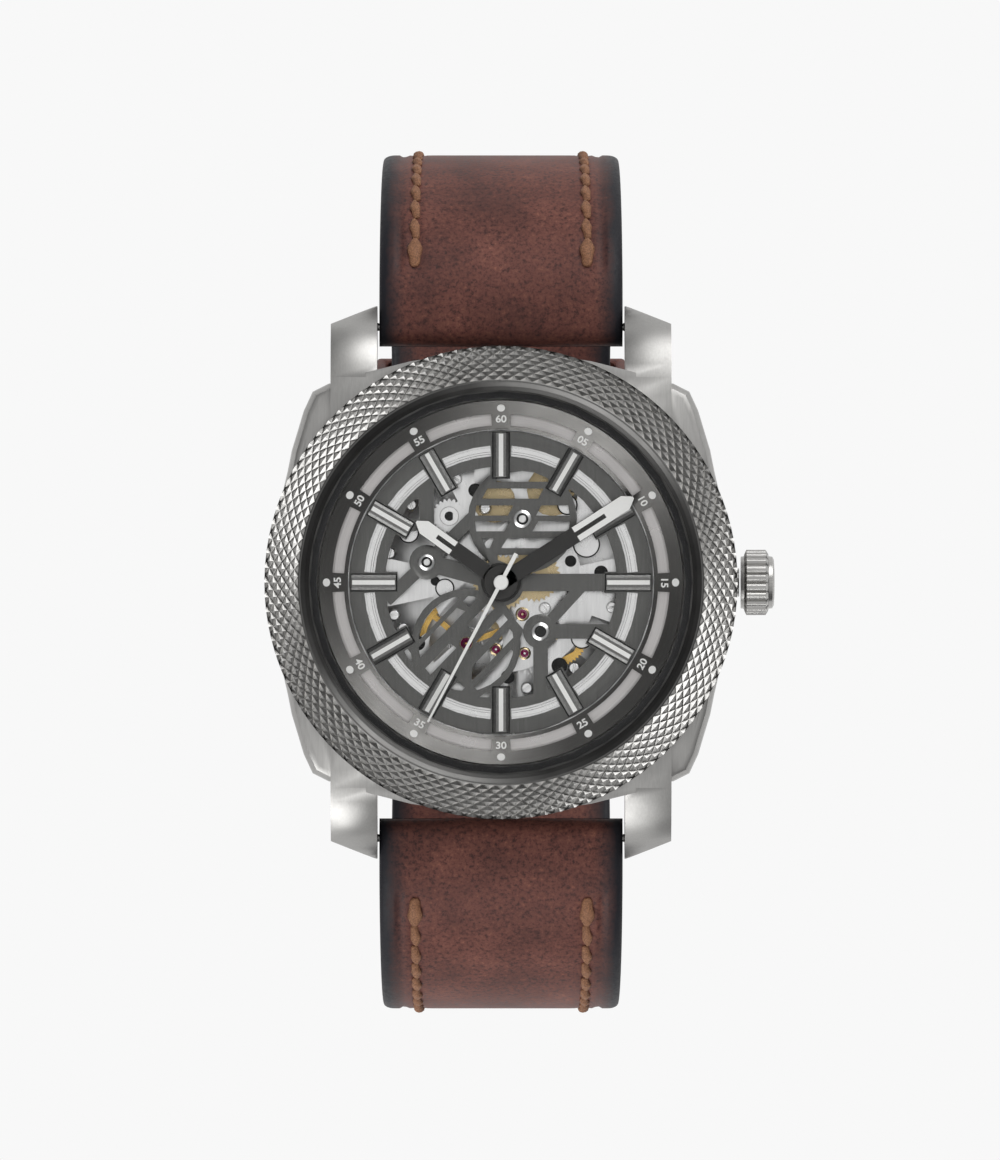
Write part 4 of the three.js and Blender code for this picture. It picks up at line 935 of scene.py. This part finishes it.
def section(half, thick, pressed):
    """One cross-section as (x, n, edge) from left to right over the outer face and back along the lining."""
    out = []
    for k in range(COLUMNS):
        t = -1 + 2 * k / (COLUMNS - 1)
        x = half * math.sin(t * math.pi / 2)
        from_edge = half - abs(x)
        round_off = 0.45 * thick / 2
        n = thick / 2
        if from_edge < round_off * 2:
            n -= round_off * (1 - math.sqrt(max(0.0, 1 - (1 - from_edge / (round_off * 2)) ** 2)))
        n -= pressed * 0.22 * math.exp(-((from_edge - GROOVE) / 0.2) ** 4)
        n -= pressed * 0.10 * math.exp(-((from_edge - STITCH) / 0.5) ** 2)
        out.append((x, n, 1 - min(from_edge / 4.0, 1)))
    for k in range(COLUMNS):
        t = 1 - 2 * k / (COLUMNS - 1)
        x = half * math.sin(t * math.pi / 2)
        from_edge = half - abs(x)
        n = -thick / 2
        if from_edge < 0.5:
            n += 0.35 * (1 - math.sqrt(max(0.0, 1 - (1 - from_edge / 0.5) ** 2)))
        out.append((x, n, 1 - min(from_edge / 4.0, 1)))
    return out


def strap(name, node_name, line, outward, thin, tip=0.0):
    """A padded strap along a line. outward is +1 or -1: the side of the line away from the wrist."""
    along, run = directions(line), distances(line)
    points, edge = [], []
    fold = LUG_THICK / 2 - 0.03
    stations = []
    for k in range(7):
        phi = math.pi / 2 * (1 - k / 7)
        here = line[0] - along[0] * fold * math.sin(phi)
        stations.append((here, along[0], 2 * fold * math.cos(phi) + 0.02, 0.0, 1.0))
    for here, forward, s in zip(line, along, run):
        thickness = thickness_at(s, thin)
        pressed = min(max((s - STITCH_START + 0.4) / 0.5, 0), 1)
        left = run[-1] - s
        narrow = 1.0 if not tip or left > tip else math.sqrt(max(0.03, 1 - (1 - left / tip) ** 2))
        stations.append((here, forward, thickness, pressed, narrow))
    for here, forward, thickness, pressed, narrow in stations:
        normal = Vector((-forward.y, forward.x)) * outward
        half = width_at(here.y) / 2 * narrow
        for x, n, e in section(half, thickness, pressed):
            p = here + normal * n
            points.append((x, p.x, p.y))
            edge.append(e)
    n = 2 * COLUMNS
    faces = []
    for i in range(len(stations) - 1):
        a, b = i * n, (i + 1) * n
        for k in range(n):
            face = (a + k, a + (k + 1) % n, b + (k + 1) % n, b + k)
            faces.append(face if outward > 0 else tuple(reversed(face)))
    last = (len(stations) - 1) * n
    ends = [tuple(reversed(range(n))), tuple(range(last, last + n))]
    faces += ends if outward > 0 else [tuple(reversed(e)) for e in ends]
    made = piece(name, points, faces, LEATHER, "case", smooth=True, slot="leather", attributes={"edge": edge})
    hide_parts(node_name)


def stitch(length, width, height):
    """One stitch of twisted thread, along X, as a spindle with a spiral crest."""
    rings, around = 12, 12
    points = []
    for i in range(rings + 1):
        t = i / rings
        fat = math.sin(math.pi * (0.06 + 0.88 * t)) ** 0.55
        for k in range(around):
            a = TAU * k / around
            twist = 1 + 0.16 * math.cos(2 * a + 9.0 * t)
            across, up = width / 2 * fat * math.cos(a), height / 2 * fat * math.sin(a)
            points.append((length * (t - 0.5), across * twist, up * twist))
    faces = [tuple(reversed(range(around))), tuple(range(rings * around, (rings + 1) * around))]
    for i in range(rings):
        for k in range(around):
            j = (k + 1) % around
            faces.append((i * around + k, i * around + j, (i + 1) * around + j, (i + 1) * around + k))
    return points, faces


def stitching(name, line, outward, thin, last):
    """Two rows of stitches, set a little askew, with a heavier one at the lug end of each row."""
    along, run = directions(line), distances(line)
    parts = []
    pitch = 2.3

    def place(s):
        i = max(k for k in range(len(run)) if run[k] <= s)
        i = min(i, len(run) - 2)
        t = (s - run[i]) / (run[i + 1] - run[i])
        return line[i].lerp(line[i + 1], t), along[i].lerp(along[i + 1], t).normalized(), thickness_at(s, thin)

    count = int((last - STITCH_START) / pitch)
    for row in (-1, 1):
        for k in range(count):
            first = k == 0
            s = STITCH_START + 1.25 + pitch * k
            here, forward, thickness = place(s)
            normal = Vector((-forward.y, forward.x)) * outward
            half = width_at(here.y) / 2
            x = row * (half - STITCH)
            centre = here + normal * (thickness / 2 + (0.06 if first else 0.0))
            size = (2.7, 1.25, 0.9) if first else (2.3, 0.86, 0.74)
            forward3 = Vector((0, forward.x, forward.y))
            normal3 = Vector((0, normal.x, normal.y))
            side3 = normal3.cross(forward3)
            skew = 0.0 if first else 0.11
            heading = (forward3 + side3 * skew).normalized()
            side3 = normal3.cross(heading)
            matrix = Matrix((heading, side3, normal3)).transposed().to_4x4()
            matrix.translation = Vector((x, centre.x, centre.y))
            parts.append(moved(stitch(*size), matrix))
    piece(name, *merged(*parts), THREAD, "case", smooth=True, slot="leather")


def tail_line():
    """The hole side's line: down the other side, through the buckle and on outside the first half."""
    first = strap_line(-1, 12)
    inner = list(reversed(strap_line(1, LOOP_END)))
    ways = directions(inner)
    outside = [p - Vector((-w.y, w.x)) * TAIL_GAP for p, w in zip(inner, ways)]
    outside = [p for p in outside if 5.5 < p.x < 29 and p.y < -30]
    middle = [Vector(p) for p in ((-8, -48.95), (-5.2, -49.5), (-2, -50.3), (1.5, -50.95))]
    return first + middle + outside


def straps():
    short = strap_line(1, LOOP_END)
    strap("strap_buckle_leather", "strap_buckle_side", short, 1, 2.2)
    stitching("stitches_buckle_side", short, 1, 2.2, 66)
    long = tail_line()
    strap("strap_hole_leather", "strap_hole_side", long, -1, 2.0, tip=7.0)
    stitching("stitches_hole_side", long, -1, 2.0, 76)


straps()


dress(LINING, "keeper_fixed", "keeper_sliding", edge=0.35)


# ---------------------------------------------------------------- floor, light and camera
WHITE_FLOOR = 0.939


def floor():
    material, principled = shader("studio_floor", (0, 0, 0), 0.9)
    principled.inputs["Specular IOR Level"].default_value = 0.0
    principled.inputs["Emission Color"].default_value = (WHITE_FLOOR, WHITE_FLOOR, WHITE_FLOOR, 1)
    principled.inputs["Emission Strength"].default_value = 1.0
    bpy.ops.mesh.primitive_plane_add(size=6, location=(0, 0, (REST_Z - 0.02) * MM))
    plane = bpy.context.object
    plane.name = "studio_floor"
    plane.data.materials.append(material)


def area(name, place, target, size, power, shape="RECTANGLE", size_y=None):
    data = bpy.data.lights.new(name, "AREA")
    data.energy = power
    data.shape = shape
    data.size = size
    data.size_y = size_y or size
    made = bpy.data.objects.new(name, data)
    scene.collection.objects.link(made)
    made.location = place
    made.rotation_euler = (Vector(target) - Vector(place)).to_track_quat("-Z", "Y").to_euler()
    return made


def studio():
    world = bpy.data.worlds.new("studio")
    scene.world = world
    world.use_nodes = True
    tree = world.node_tree
    background = tree.nodes["Background"]
    coordinates = tree.nodes.new("ShaderNodeTexCoord")
    split = tree.nodes.new("ShaderNodeSeparateXYZ")
    tree.links.new(coordinates.outputs["Generated"], split.inputs["Vector"])
    shades = tree.nodes.new("ShaderNodeValToRGB")
    elements = shades.color_ramp.elements
    elements[0].position = 0.05
    elements[0].color = (0.12, 0.12, 0.125, 1)
    elements[1].position = 1.0
    elements[1].color = (1, 1, 1, 1)
    for position, level in ((0.55, 0.10), (0.84, 0.62)):
        elements.new(position).color = (level, level, level, 1)
    tree.links.new(split.outputs["Z"], shades.inputs["Fac"])
    tree.links.new(shades.outputs["Color"], background.inputs["Color"])
    background.inputs["Strength"].default_value = 0.9
    area("key_upper_right", (0.42, 0.78, 0.55), (0, 0, 0), 0.9, 7.5, size_y=0.7)
    area("key_lower_left", (-0.42, -0.78, 0.55), (0, 0, 0), 0.9, 7.5, size_y=0.7)


def camera():
    data = bpy.data.cameras.new("camera")
    data.sensor_fit = "AUTO"
    data.sensor_width = 36
    distance = 1.4
    frame_height = 0.1028
    data.lens = 36 * (distance - 0.012) / frame_height
    data.clip_end = 10
    made = bpy.data.objects.new("camera", data)
    scene.collection.objects.link(made)
    made.location = (-0.00009, 0.00022, distance)
    made.rotation_euler = (0, 0, 0)
    scene.camera = made


floor()
studio()
camera()
scene.view_settings.view_transform = "Standard"
